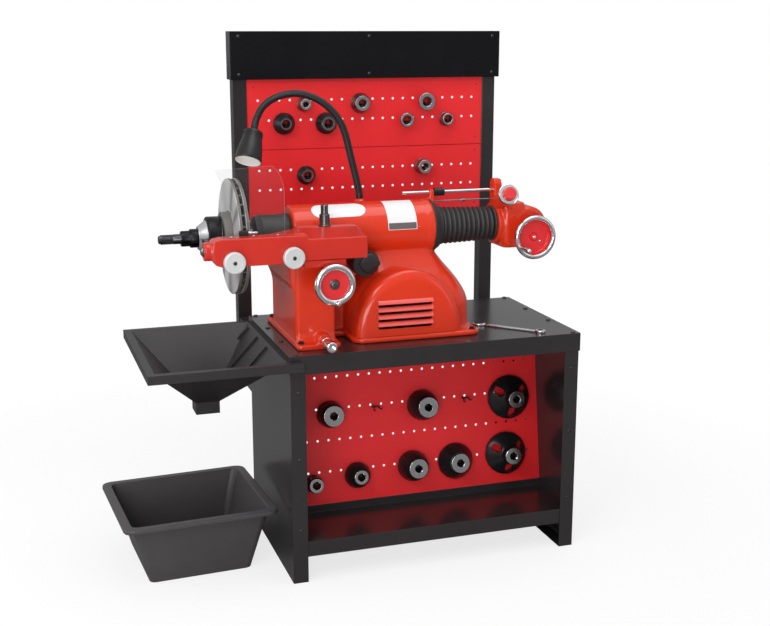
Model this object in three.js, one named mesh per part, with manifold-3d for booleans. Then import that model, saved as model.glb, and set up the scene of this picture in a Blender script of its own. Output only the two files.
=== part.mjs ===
// Brake lathe on a sheet-steel bench, with tool boards, chip funnel and chip bin.
// Millimetres, +X right, +Y to the back, +Z up. Places are measured from the middle of the
// bench at floor level; the finished group is moved so that its origin is the bottom centre
// of the whole object.
import * as THREE from 'three';
import { mergeVertices } from 'three/addons/utils/BufferGeometryUtils.js';
import Module from 'manifold-3d';

const wasm = await Module();
wasm.setup();

// Clearances, the reach of a cut past its piece and of a joined piece into its neighbour
const seatGap = 0.3;
const runGap = 0.4;
const overrun = 5;
const sink = 1;

// Round pieces: sides of a large, middle and small circle
const sidesLarge = 28;
const sidesMiddle = 16;
const sidesSmall = 10;
const sidesBoard = 12;
const sidesPeg = 8;
const sidesWire = 6;
const sidesHex = 6;

// Bench
const benchWidth = 1000;
const benchDepth = 594;
const benchHeight = 760;
const topSheet = 6;
const bendSheet = 3;
const apronHeight = 62;
const sideLipHeight = 40;
const legWidth = 50;
const tableBoltRadius = 8;
const tableBoltHeight = 4;
const tableBoltInset = 23;
const tableBoltPitch = 190;
const tableBoltStepShares = [-1.5, -0.5, 0.5, 1.5];
const shelfHeight = 126;
const shelfLipRise = 12;
const shelfLipDrop = 40;
const upstandHeight = 26;
const upstandY = -26;

// Peg boards
const boardSheet = 2;
const boardFold = 18;
const holeRadius = 3.6;
const holeSides = 4;
const holePitch = 39;
const lowerBoardHeadroom = 60;
const lowerBoardLean = 0.148;
const lowerRowShares = [0.2, 0.4, 0.6, 0.8];
const pegRadius = 7;
const pegShare = 0.8;

// Back frame
const frameSetBack = 175;
const postSize = 50;
const postWall = 3;
const postDrop = 280;
const bracketDrop = 48;
const bracketBar = 34;
const bracketPlate = 6;
const headerRise = 813;
const headerHeight = 167;
const headerOverhang = 10;
const headerForward = 17;
const headerSheet = 3;
const upperBoardHeight = 250;
const upperBoardSetBack = 6;
const upperRowDrop = 74;
const upperRowPitch = 71;

// Spindle line and barrel
const spindleRise = 337;
const barrelRadius = 93;
const barrelLeft = -424;
const barrelLength = 513;
const barrelRing = 26;
const barrelRingRise = 2.5;
const quillRadius = 58;
const quillBore = 50;
const quillNeckRadius = 40;
const quillNose = 95;
const quillShoulder = 27;
const bellowsLength = 206.7;
const bushLength = 24;
const shaftRadius = 20;

const colours = {
  red: { color: 0xc81e14, roughness: 0.3, metalness: 0.1 },
  board: { color: 0xc41a20, roughness: 0.45, metalness: 0.0 },
  black: { color: 0x17171a, roughness: 0.4, metalness: 0.2 },
  plastic: { color: 0x202024, roughness: 0.55, metalness: 0.0 },
  rubber: { color: 0x1c1c1e, roughness: 0.75, metalness: 0.0 },
  chrome: { color: 0xd8d8dc, roughness: 0.15, metalness: 1.0 },
  steel: { color: 0x9a9a9e, roughness: 0.35, metalness: 1.0 },
  darkSteel: { color: 0x3a3a3e, roughness: 0.4, metalness: 0.8 },
  iron: { color: 0xb4b2ae, roughness: 0.4, metalness: 0.9 },
  clear: { color: 0xe8eef0, roughness: 0.05, metalness: 0.0 },
  glow: { color: 0xfff4dc, roughness: 0.3, metalness: 0.0 },
};

const bench = new THREE.Group();

const weldDistance = 1e-4;

// A closed geometry as a solid, turned right side out if its faces point in
function solid(geometry) {
  const bare = geometry.clone();
  bare.deleteAttribute('normal');
  bare.deleteAttribute('uv');
  const merged = mergeVertices(bare, weldDistance);
  const place = merged.attributes.position;
  const index = Array.from(merged.index.array);
  const a = new THREE.Vector3();
  const b = new THREE.Vector3();
  const c = new THREE.Vector3();
  let volume = 0;
  const kept = [];
  for (let i = 0; i < index.length; i += 3) {
    const [p, q, r] = [index[i], index[i + 1], index[i + 2]];
    if (p === q || q === r || r === p) continue;
    kept.push(p, q, r);
    a.fromBufferAttribute(place, p);
    b.fromBufferAttribute(place, q);
    c.fromBufferAttribute(place, r);
    volume += a.dot(b.cross(c));
  }
  if (volume < 0) {
    for (let i = 0; i < kept.length; i += 3) {
      [kept[i + 1], kept[i + 2]] = [kept[i + 2], kept[i + 1]];
    }
  }
  return new wasm.Manifold(new wasm.Mesh({
    numProp: 3,
    vertProperties: new Float32Array(place.array),
    triVerts: new Uint32Array(kept),
  }));
}

// A solid as a named mesh in the given group
function add(name, shape, look, group = bench) {
  const data = shape.getMesh();
  const geometry = new THREE.BufferGeometry();
  geometry.setAttribute('position', new THREE.BufferAttribute(data.vertProperties, 3));
  geometry.setIndex(new THREE.BufferAttribute(data.triVerts, 1));
  geometry.computeVertexNormals();
  const mesh = new THREE.Mesh(geometry, new THREE.MeshStandardMaterial(look));
  mesh.name = name;
  group.add(mesh);
  return mesh;
}

function join(...shapes) {
  return shapes.reduce((whole, piece) => whole.add(piece));
}

function box(x0, x1, y0, y1, z0, z1) {
  const geometry = new THREE.BoxGeometry(x1 - x0, y1 - y0, z1 - z0);
  geometry.translate((x0 + x1) / 2, (y0 + y1) / 2, (z0 + z1) / 2);
  return solid(geometry);
}

// A box on the right side of the bench, or mirrored to the left where side is negative
function boxFrom(side, x0, x1, y0, y1, z0, z1) {
  return side > 0 ? box(x0, x1, y0, y1, z0, z1) : box(-x1, -x0, y0, y1, z0, z1);
}

// Directions for turned pieces
const toRight = new THREE.Vector3(1, 0, 0);
const toBack = new THREE.Vector3(0, 1, 0);
const toFront = new THREE.Vector3(0, -1, 0);
const upward = new THREE.Vector3(0, 0, 1);

// A profile of [distance along the axis, radius] turned round an axis through a point
function turned(profile, at, direction, sides) {
  const points = profile.map(([along, radius]) => new THREE.Vector2(radius, along));
  const geometry = new THREE.LatheGeometry(points, sides);
  const turn = new THREE.Quaternion().setFromUnitVectors(toBack, direction);
  geometry.applyQuaternion(turn);
  geometry.translate(at.x, at.y, at.z);
  return solid(geometry);
}

function rod(radius, from, to, at, direction, sides) {
  return turned([[from, 0], [from, radius], [to, radius], [to, 0]], at, direction, sides);
}

// Radius of a many-sided hole in which a shaft of the same sides can turn
function boreFor(radius, sides) {
  return radius / Math.cos(Math.PI / sides) + runGap;
}

function ring(inner, outer, from, to, at, direction, sides) {
  const profile = [[from, inner], [from, outer], [to, outer], [to, inner], [from, inner]];
  return turned(profile, at, direction, sides);
}

function point(x, y, z) {
  return new THREE.Vector3(x, y, z);
}

// A flat outline in X and Z with a thickness along Y, from its front face to its back face
function frontPlate(shape, front, back, curveSegments = 12) {
  const options = { depth: back - front, bevelEnabled: false, curveSegments };
  const geometry = new THREE.ExtrudeGeometry(shape, options);
  geometry.rotateX(Math.PI / 2);
  geometry.translate(0, back, 0);
  return solid(geometry);
}

// A flat outline in X and Y with a thickness along Z
function flatPlate(shape, bottom, top, curveSegments = 6) {
  const options = { depth: top - bottom, bevelEnabled: false, curveSegments };
  const geometry = new THREE.ExtrudeGeometry(shape, options);
  geometry.translate(0, 0, bottom);
  return solid(geometry);
}

// A flat outline in Y and Z with a thickness along X, from its left face to its right face
function sidePlate(shape, left, right, curveSegments = 12) {
  const options = { depth: right - left, bevelEnabled: false, curveSegments };
  const geometry = new THREE.ExtrudeGeometry(shape, options);
  const axes = new THREE.Matrix4().makeBasis(toBack, upward, toRight);
  geometry.applyMatrix4(axes);
  geometry.translate(left, 0, 0);
  return solid(geometry);
}

function outline(points) {
  return new THREE.Shape(points.map(([u, v]) => new THREE.Vector2(u, v)));
}

// A rectangle with round corners, as a ring of points at one height
function roundedRing(x0, x1, y0, y1, radius, z, cornerSteps = 5) {
  const corners = [
    [x1 - radius, y1 - radius, 0],
    [x0 + radius, y1 - radius, 1],
    [x0 + radius, y0 + radius, 2],
    [x1 - radius, y0 + radius, 3],
  ];
  const points = [];
  for (const [cx, cy, quarter] of corners) {
    for (let i = 0; i <= cornerSteps; i += 1) {
      const angle = (quarter + i / cornerSteps) * (Math.PI / 2);
      points.push(point(cx + radius * Math.cos(angle), cy + radius * Math.sin(angle), z));
    }
  }
  return points;
}

// A closed body through rings of equally many points
function loft(rings) {
  const count = rings[0].length;
  const positions = [];
  const index = [];
  for (const loop of rings) {
    for (const p of loop) positions.push(p.x, p.y, p.z);
  }
  for (let r = 0; r + 1 < rings.length; r += 1) {
    for (let i = 0; i < count; i += 1) {
      const a = r * count + i;
      const b = r * count + ((i + 1) % count);
      index.push(a, b, b + count, a, b + count, a + count);
    }
  }
  for (const [r, flip] of [[0, true], [rings.length - 1, false]]) {
    const middle = new THREE.Vector3();
    for (const p of rings[r]) middle.addScaledVector(p, 1 / count);
    const centre = positions.length / 3;
    positions.push(middle.x, middle.y, middle.z);
    for (let i = 0; i < count; i += 1) {
      const a = r * count + i;
      const b = r * count + ((i + 1) % count);
      if (flip) index.push(centre, b, a);
      else index.push(centre, a, b);
    }
  }
  const geometry = new THREE.BufferGeometry();
  geometry.setAttribute('position', new THREE.Float32BufferAttribute(positions, 3));
  geometry.setIndex(index);
  return solid(geometry);
}

// Bench: folded top, two channel-shaped side panels and a shelf tray
const halfWidth = benchWidth / 2;
const halfDepth = benchDepth / 2;
const topUnder = benchHeight - topSheet;
const panelOuter = halfWidth - bendSheet - seatGap;
const panelFace = panelOuter - bendSheet;
const panelFront = halfDepth - bendSheet - seatGap;

function tableTop() {
  let top = box(-halfWidth, halfWidth, -halfDepth, halfDepth, topUnder, benchHeight);
  const innerX = halfWidth - bendSheet;
  const innerY = halfDepth - bendSheet;
  const lipBottom = benchHeight - sideLipHeight;
  const apronBottom = benchHeight - apronHeight;
  const rim = box(-halfWidth, halfWidth, -halfDepth, halfDepth, lipBottom, topUnder + sink)
    .subtract(box(-innerX, innerX, -innerY, innerY, lipBottom - overrun, topUnder + overrun));
  const apron = box(-halfWidth, halfWidth, -halfDepth, -innerY, apronBottom, topUnder + sink);
  top = join(top, rim, apron);
  for (const side of [-1, 1]) {
    for (const stepShare of tableBoltStepShares) {
      const at = point(side * (halfWidth - tableBoltInset), stepShare * tableBoltPitch,
        benchHeight);
      top = top.add(rod(tableBoltRadius, -sink, tableBoltHeight, at, upward, sidesHex));
    }
  }
  add('table_top', top, colours.black);
}

function sidePanel(name, side) {
  const inner = panelOuter - legWidth;
  const height = topUnder - seatGap;
  const outer = boxFrom(side, inner, panelOuter, -panelFront, panelFront, 0, height);
  const hollow = boxFrom(
    side, inner - overrun, panelFace,
    -panelFront + bendSheet, panelFront - bendSheet,
    bendSheet, height - bendSheet,
  );
  add(name, outer.subtract(hollow), colours.black);
}

function shelfTray() {
  const reach = panelFace - seatGap;
  const front = panelFront - bendSheet - seatGap;
  const bottom = shelfHeight - bendSheet;
  const rise = shelfHeight + upstandHeight;
  const lipTop = shelfHeight + shelfLipRise;
  const lipBottom = shelfHeight - shelfLipDrop;
  add('shelf_tray', sidePlate(outline([
    [-front, lipBottom], [-front, lipTop], [-front + bendSheet, lipTop],
    [-front + bendSheet, shelfHeight], [upstandY - bendSheet, shelfHeight],
    [upstandY - bendSheet, rise], [upstandY, rise], [upstandY, shelfHeight],
    [front, shelfHeight], [front, lipBottom], [front - bendSheet, lipBottom],
    [front - bendSheet, bottom], [-front + bendSheet, bottom],
    [-front + bendSheet, lipBottom],
  ]), -reach, reach), colours.black);
}

tableTop();
sidePanel('side_panel_left', -1);
sidePanel('side_panel_right', 1);
shelfTray();

// A row of peg holes through a board that stands in X and Z
function holeRow(board, z, first, count, front, back) {
  let cut = null;
  for (let i = 0; i < count; i += 1) {
    const at = point(first + i * holePitch, front, z);
    const hole = rod(holeRadius, -overrun, back - front + overrun, at, toBack, holeSides);
    cut = cut ? cut.add(hole) : hole;
  }
  return board.subtract(cut);
}

// Peg-hung adapters: place across the board and up it in shares of its width and height, and
// radius at the board, radius in front and length in shares of the largest adapter's sizes
const lowerBoardGroup = new THREE.Group();
const lowerBoardBase = shelfHeight + upstandHeight + seatGap;
lowerBoardGroup.position.set(0, upstandY, lowerBoardBase);
lowerBoardGroup.rotation.x = -lowerBoardLean;
bench.add(lowerBoardGroup);

const lowerBoardReach = panelFace - seatGap;
const lowerBoardWidth = 2 * lowerBoardReach;
const lowerBoardRoom = topUnder - lowerBoardBase - lowerBoardHeadroom;
const lowerBoardHeight = lowerBoardRoom / Math.cos(lowerBoardLean);
const adapterSetOff = 0.5;
const adapterWall = 7;
const adapterRadius = 78;
const adapterLength = 84;
const adapterBore = 13;
const lowerAdapterShares = [
  { name: 'adapter_cup_1', across: -0.289, up: 0.577, back: 0.59, front: 0.46, long: 0.74 },
  { name: 'adapter_cup_2', across: 0.051, up: 0.579, back: 0.69, front: 0.46, long: 0.93 },
  { name: 'adapter_bell_1', across: 0.385, up: 0.575, back: 1, front: 0.385, long: 1 },
  { name: 'adapter_cup_3', across: -0.359, up: 0.148, back: 0.385, front: 0.32, long: 0.57 },
  { name: 'adapter_cup_4', across: -0.2, up: 0.173, back: 0.577, front: 0.32, long: 0.71 },
  { name: 'adapter_cup_5', across: 0.006, up: 0.193, back: 0.69, front: 0.436, long: 0.9 },
  { name: 'adapter_cone_1', across: 0.169, up: 0.192, back: 0.82, front: 0.436, long: 0.74 },
  { name: 'adapter_bell_2', across: 0.365, up: 0.208, back: 0.974, front: 0.385, long: 1 },
];
const bellRimWidth = 18;
const bellRimDepth = 16;
const bellSpokeWidth = 22;
const bellRidgeShare = 0.5;
const bellHubStartShare = 0.45;
const bellHubBackShare = 0.8;
const bellHubTaperShare = 0.25;
const bellConeShare = 0.62;
const bellSpokeTurnShares = [1 / 12, 5 / 12, 9 / 12];
const cupRimShare = 0.3;
const cupNoseShare = 0.22;

const lowerAdapters = lowerAdapterShares.map((share) => ({
  name: share.name,
  x: share.across * lowerBoardWidth,
  z: share.up * lowerBoardHeight,
  back: share.back * adapterRadius,
  front: share.front * adapterRadius,
  length: share.long * adapterLength,
}));

// A solid of revolution that stands out from the board, measured from the board's face
function onBoard(profile, x, z) {
  return turned(profile, point(x, 0, z), toFront, sidesBoard);
}

function lowerAdapter({ name, x, z: pegZ, back, front, length }) {
  const bore = adapterBore;
  const z = pegZ - (bore - pegRadius - seatGap);
  const start = adapterSetOff;
  const end = start + length;
  if (name.startsWith('adapter_bell')) {
    const inner = back - bellRimWidth;
    const rim = onBoard([
      [start, inner], [start, back], [start + bellRimDepth, back],
      [start + bellRimDepth * (1 + bellRidgeShare), back - bellRimWidth * bellRidgeShare],
      [start + bellRimDepth, inner], [start, inner],
    ], x, z);
    const hubStart = start + length * bellHubStartShare;
    const hub = onBoard([
      [hubStart, bore], [hubStart, front * bellHubBackShare],
      [end - length * bellHubTaperShare, front], [end, front], [end, bore], [hubStart, bore],
    ], x, z);
    const cone = onBoard([
      [start, inner], [start, back - adapterWall], [start + length * bellConeShare, front],
      [start + length * bellConeShare, front - adapterWall], [start, inner],
    ], x, z);
    let whole = rim.add(hub);
    for (const turnShare of bellSpokeTurnShares) {
      const spoke = new THREE.BoxGeometry(bellSpokeWidth, end * 2 + length, back);
      spoke.translate(0, 0, back / 2);
      spoke.rotateY(turnShare * Math.PI * 2);
      spoke.translate(x, 0, z);
      whole = whole.add(cone.intersect(solid(spoke)));
    }
    add(name, whole, colours.black, lowerBoardGroup);
    return;
  }
  const cup = onBoard([
    [start, bore], [start, back], [start + length * cupRimShare, back],
    [end - length * cupNoseShare, front], [end, front], [end, bore], [start, bore],
  ], x, z);
  add(name, cup, colours.black, lowerBoardGroup);
}

// Wire hooks: place across the lower board and up it in shares of its width and height
const lowerHookShares = [{ across: -0.125, up: 0.588 }, { across: 0.213, up: 0.588 }];
const hookRadius = 2.5;
const hookReach = 34;
const hookSpread = 26;
const hookTailDirection = new THREE.Vector3(0.3, -0.8, -0.52).normalize();

function hook(x, z) {
  const bar = rod(hookRadius, -hookSpread / 2, hookSpread, point(x, -hookReach / 2, z),
    toRight, sidesWire);
  const stem = rod(hookRadius, -boardSheet / 2, hookReach, point(x, 0, z), toFront, sidesWire);
  const tail = rod(hookRadius, 0, hookReach / 2, point(x + hookSpread, -hookReach / 2, z),
    hookTailDirection, sidesWire);
  return join(bar, stem, tail);
}

function lowerBoard() {
  let board = box(-lowerBoardReach, lowerBoardReach, 0, boardSheet, 0, lowerBoardHeight);
  const holes = Math.floor((lowerBoardWidth - holePitch) / holePitch);
  const first = (-(holes - 1) * holePitch) / 2;
  for (const rowShare of lowerRowShares) {
    board = holeRow(board, rowShare * lowerBoardHeight, first, holes, 0, boardSheet);
  }
  for (const item of lowerAdapters) {
    const at = point(item.x, 0, item.z);
    board = board.add(rod(pegRadius, -boardSheet / 2, item.length * pegShare, at, toFront,
      sidesPeg));
  }
  for (const { across, up } of lowerHookShares) {
    board = board.add(hook(across * lowerBoardWidth, up * lowerBoardHeight));
  }
  add('lower_peg_board', board, colours.board, lowerBoardGroup);
}

lowerBoard();
lowerAdapters.forEach(lowerAdapter);

// Back frame: two posts on welded brackets, a sign box and two folded peg boards
const postFront = halfDepth + frameSetBack;
const postBack = postFront + postSize;
const postInner = halfWidth - postSize;
const headerBottom = benchHeight + headerRise;
const headerTop = headerBottom + headerHeight;
const postTop = headerBottom - seatGap;
const postBottom = benchHeight - postDrop;
const bracketTop = benchHeight - bracketDrop;

function post(name, side) {
  const tube = boxFrom(side, postInner, halfWidth, postFront, postBack, postBottom, postTop)
    .subtract(boxFrom(
      side, postInner + postWall, halfWidth - postWall,
      postFront + postWall, postBack - postWall,
      postBottom - overrun, postTop + overrun,
    ));
  const from = panelFront + seatGap;
  const left = postInner + postWall;
  const right = panelOuter;
  const frame = boxFrom(side, left, right, from, postFront + sink, postBottom, bracketTop)
    .subtract(boxFrom(
      side, left - overrun, right + overrun,
      from + bracketPlate, postFront - bracketPlate,
      postBottom + bracketBar, bracketTop - bracketBar,
    ));
  add(name, tube.add(frame), colours.black);
}

function headerBox() {
  const half = halfWidth + headerOverhang;
  const front = postFront - headerForward;
  const shell = box(-half, half, front, postBack, headerBottom, headerTop);
  const hollow = box(
    -half + headerSheet, half - headerSheet,
    front + headerSheet, postBack + overrun,
    headerBottom + headerSheet, headerTop - headerSheet,
  );
  add('header_box', shell.subtract(hollow), colours.black);
}

// Small bright cones and rings joined to the upper boards: place across and down from the
// header in shares of the two boards' width and height, radii and length in shares of the
// largest one's sizes
const upperAdapterRadius = 39;
const upperAdapterLength = 44;
const upperAdapterShares = [
  { across: -0.269, down: 0.178, back: 0.67, front: 0.51, bore: 0.23, long: 0.91 },
  { across: -0.352, down: 0.314, back: 1, front: 0.56, bore: 0.33, long: 1 },
  { across: -0.178, down: 0.318, back: 1, front: 0.67, bore: 0.36, long: 1 },
  { across: -0.033, down: 0.178, back: 0.92, front: 0.72, bore: 0.33, long: 0.91 },
  { across: 0.244, down: 0.174, back: 0.56, front: 0.82, bore: 0.41, long: 0.91 },
  { across: 0.159, down: 0.306, back: 0.46, front: 0.67, bore: 0.385, long: 0.82 },
  { across: 0.338, down: 0.306, back: 0.67, front: 0.56, bore: 0.36, long: 0.82 },
  { across: -0.264, down: 0.69, back: 0.87, front: 0.62, bore: 0.31, long: 0.77 },
  { across: 0.236, down: 0.654, back: 0.77, front: 0.67, bore: 0.31, long: 0.95 },
];
const upperRimShare = 0.3;
const upperBoreShare = 0.35;

function upperAdapter(share, face) {
  const length = share.long * upperAdapterLength;
  const back = share.back * upperAdapterRadius;
  const front = share.front * upperAdapterRadius;
  const bore = share.bore * upperAdapterRadius;
  const x = share.across * 2 * postInner;
  const z = headerBottom - share.down * 2 * upperBoardHeight;
  return turned([
    [-boardSheet / 2, 0], [-boardSheet / 2, back], [length * upperRimShare, back],
    [length, front], [length, bore], [length * upperBoreShare, bore],
    [length * upperBoreShare, 0],
  ], point(x, face, z), toFront, sidesSmall);
}

function upperBoard(name, order) {
  const half = postInner - seatGap;
  const front = postFront + upperBoardSetBack;
  const bottom = headerBottom - (order + 1) * upperBoardHeight + seatGap;
  const top = bottom + upperBoardHeight - 2 * seatGap;
  const shell = box(-half, half, front, front + boardFold, bottom, top);
  const hollow = box(
    -half + boardSheet, half - boardSheet,
    front + boardSheet, front + boardFold + overrun,
    bottom + boardSheet, top - boardSheet,
  );
  let board = shell.subtract(hollow);
  const holes = Math.floor((2 * half - holePitch) / holePitch);
  const first = (-(holes - 1) * holePitch) / 2;
  for (const row of [0, 1]) {
    const z = top - upperRowDrop - row * upperRowPitch;
    board = holeRow(board, z, first, holes, front, front + boardSheet);
  }
  for (const share of upperAdapterShares) {
    if (Math.floor(share.down * 2) === order) board = board.add(upperAdapter(share, front));
  }
  add(name, board, colours.board);
}

post('frame_post_left', -1);
post('frame_post_right', 1);
headerBox();
upperBoard('upper_peg_board', 0);
upperBoard('middle_peg_board', 1);

// Base casting: barrel, bell-shaped motor housing, column for the cross slide, foot flange
const footBottom = benchHeight + seatGap;
const flangeThickness = 18;
const flangeTop = footBottom + flangeThickness;
const castWall = 9;
const spindleHeight = benchHeight + spindleRise;
const barrelRight = barrelLeft + barrelLength;
const quillLeft = barrelLeft - quillNose;
const quillNeckLeft = barrelRight - quillShoulder;
const quillRight = barrelRight + seatGap + bellowsLength;
const spindleAt = point(0, 0, spindleHeight);

const bellLeft = -255;
const bellRight = 190;
const bellDepth = 190;
const bellCorner = 120;
const neckLeft = -165;
const neckInset = 44;
const neckRight = barrelRight - neckInset;
const neckDepth = 62;
const neckCorner = 40;
const bellCornerSteps = 3;
const bellFootSteps = 4;
const footCornerSteps = 2;
const bellLevelShares = [
  [0, 1], [0.3, 0.972], [0.44, 0.83], [0.59, 0.55], [0.74, 0.23], [0.86, 0.04], [1, 0],
];

// The bell's outer or inner skin: grown by a distance, from a start height
function bell(grow, bottom) {
  const top = spindleHeight - castWall;
  const between = (from, to, share) => from + (to - from) * share;
  return loft(bellLevelShares.map(([heightShare, spreadShare], level) => roundedRing(
    between(neckLeft, bellLeft, spreadShare) - grow,
    between(neckRight, bellRight, spreadShare) + grow,
    -between(neckDepth, bellDepth, spreadShare) - grow,
    between(neckDepth, bellDepth, spreadShare) + grow,
    between(neckCorner, bellCorner, spreadShare) + grow,
    level === 0 ? bottom : between(footBottom, top, heightShare), bellCornerSteps,
  )));
}

const columnLeft = -452;
const columnRight = -321;
const columnFront = -200;
const columnBack = 130;
const columnTopDrop = 67;
const columnTop = spindleHeight - columnTopDrop;
const columnCorner = 12;
const columnFlare = 34;
const columnFlareHeight = 40;
const columnWall = 12.6;
const columnRoomDrop = 48;
const slideClearance = 2;
const footBellCorner = 70;
const footMargin = 5;
const footBackMargin = 40;
const footBellMargin = 26;
const footRightMargin = 4;
const footLeft = columnLeft - footMargin;
const footFront = columnFront - columnFlare - footMargin;
const footBack = columnBack + columnFlare + footBackMargin;
const footRight = bellRight + footRightMargin;
const footBellFront = -bellDepth - footBellMargin;
const footCorner = 14;

function columnSkin(grow, bottom, top) {
  const flared = footBottom + columnFlareHeight;
  const levels = [
    [bottom, columnFlare, columnCorner * 2], [flared, 0, columnCorner],
    [top, 0, columnCorner],
  ];
  return loft(levels.map(([z, flare, corner]) => roundedRing(
    columnLeft - grow, columnRight + grow,
    columnFront - flare - grow, columnBack + flare + grow, corner, z, 1,
  )));
}

// Cross slide way in the column: tongue slot, bar slot and screw pocket
const crossScrewX = -348;
const crossScrewDrop = 120;
const crossScrewHeight = spindleHeight - crossScrewDrop;
const crossScrewRadius = 8;
const slideHalf = 19.6;
const slideBack = -45;
const tongueFront = -160;
const tongueBack = -100;
const slideBarDrop = 28;
const slideBarThickness = 10;
const barBottom = columnTop - slideBarDrop;
const barTop = barBottom + slideBarThickness;
const lugFront = -75;
const lugDrop = 19;
const lugBottom = crossScrewHeight - lugDrop;
const crossTravel = 110;
const crossBossRadius = 24;
const crossBossReach = 68;
const crossBossFront = columnFront - crossBossReach;

// Power switch, plunger and lamp sockets on the casting
const switchX = -185;
const switchFront = -108;
const switchDrop = 91;
const switchAt = point(switchX, switchFront, spindleHeight - switchDrop);
const switchBossRadius = 26;
const switchBossLength = 63;
const plungerBossLength = 36;
const lampBossLength = 45;
const plungerX = -370;
const plungerFront = -240;
const plungerRise = 27.7;
const plungerAt = point(plungerX, plungerFront, footBottom + plungerRise);
const plungerRadius = 17;
const lampX = -166;
const lampY = 45;
const lampBossRise = 99;
const lampAt = point(lampX, lampY, spindleHeight + lampBossRise);
const lampBossRadius = 17;
const stubRadius = 6;
const stubLength = 12;

// Stop rod and guide rod over the bellows
const stopRodRise = 115;
const stopRodHeight = spindleHeight + stopRodRise;
const stopRodRadius = 5.5;
const stopRodInset = 119;
const stopRodLeft = barrelRight - stopRodInset;
const stopRodLength = 362;
const stopRodRight = stopRodLeft + stopRodLength;
const rodLugInset = 7;
const rodLugThickness = 18;
const rodLugRight = barrelRight - rodLugInset;
const rodLugLeft = rodLugRight - rodLugThickness;
const rodLugHalf = 11;
const guideRodRise = 84;
const guideRodHeight = spindleHeight + guideRodRise;
const guideRodRadius = 2.5;
const guideRodSink = 10;
const guideRodReach = 237;
const guideRodRight = barrelRight + guideRodReach;
const stopBlockRadius = 14;
const stopBlockLength = 36;
const guideCollarRadius = 5.5;
const guideCollarReach = 93;
const guideCollarLeft = barrelRight + guideCollarReach;
const guideCollarLength = 14;

// Belt drive in the bell
const motorRise = 110;
const motorHeight = benchHeight + motorRise;
const beltLeft = -103;
const beltWidth = 16;
const beltRight = beltLeft + beltWidth;
const beltThickness = 3.5;
const beltArcSteps = 8;
const spindlePulleyRadius = 42;
const motorPulleyRadius = 25;
const pulleyOverhang = 4;
const beltRoom = 8;

// Front cover of the motor housing
const coverMiddle = -72;
const coverHalf = 181;
const coverRise = 230;
const coverTop = benchHeight + coverRise;
const coverBulge = 22;
const coverShoulder = -bellDepth;
const coverFront = coverShoulder - coverBulge;
const coverSheet = 5;
const windowInset = 34;
const coverBendShares = [
  { wide: 0.965, high: 0.96, deep: 0.25 }, { wide: 0.9, high: 0.9, deep: 0.75 },
  { wide: 0.8, high: 0.82, deep: 1 },
];

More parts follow.
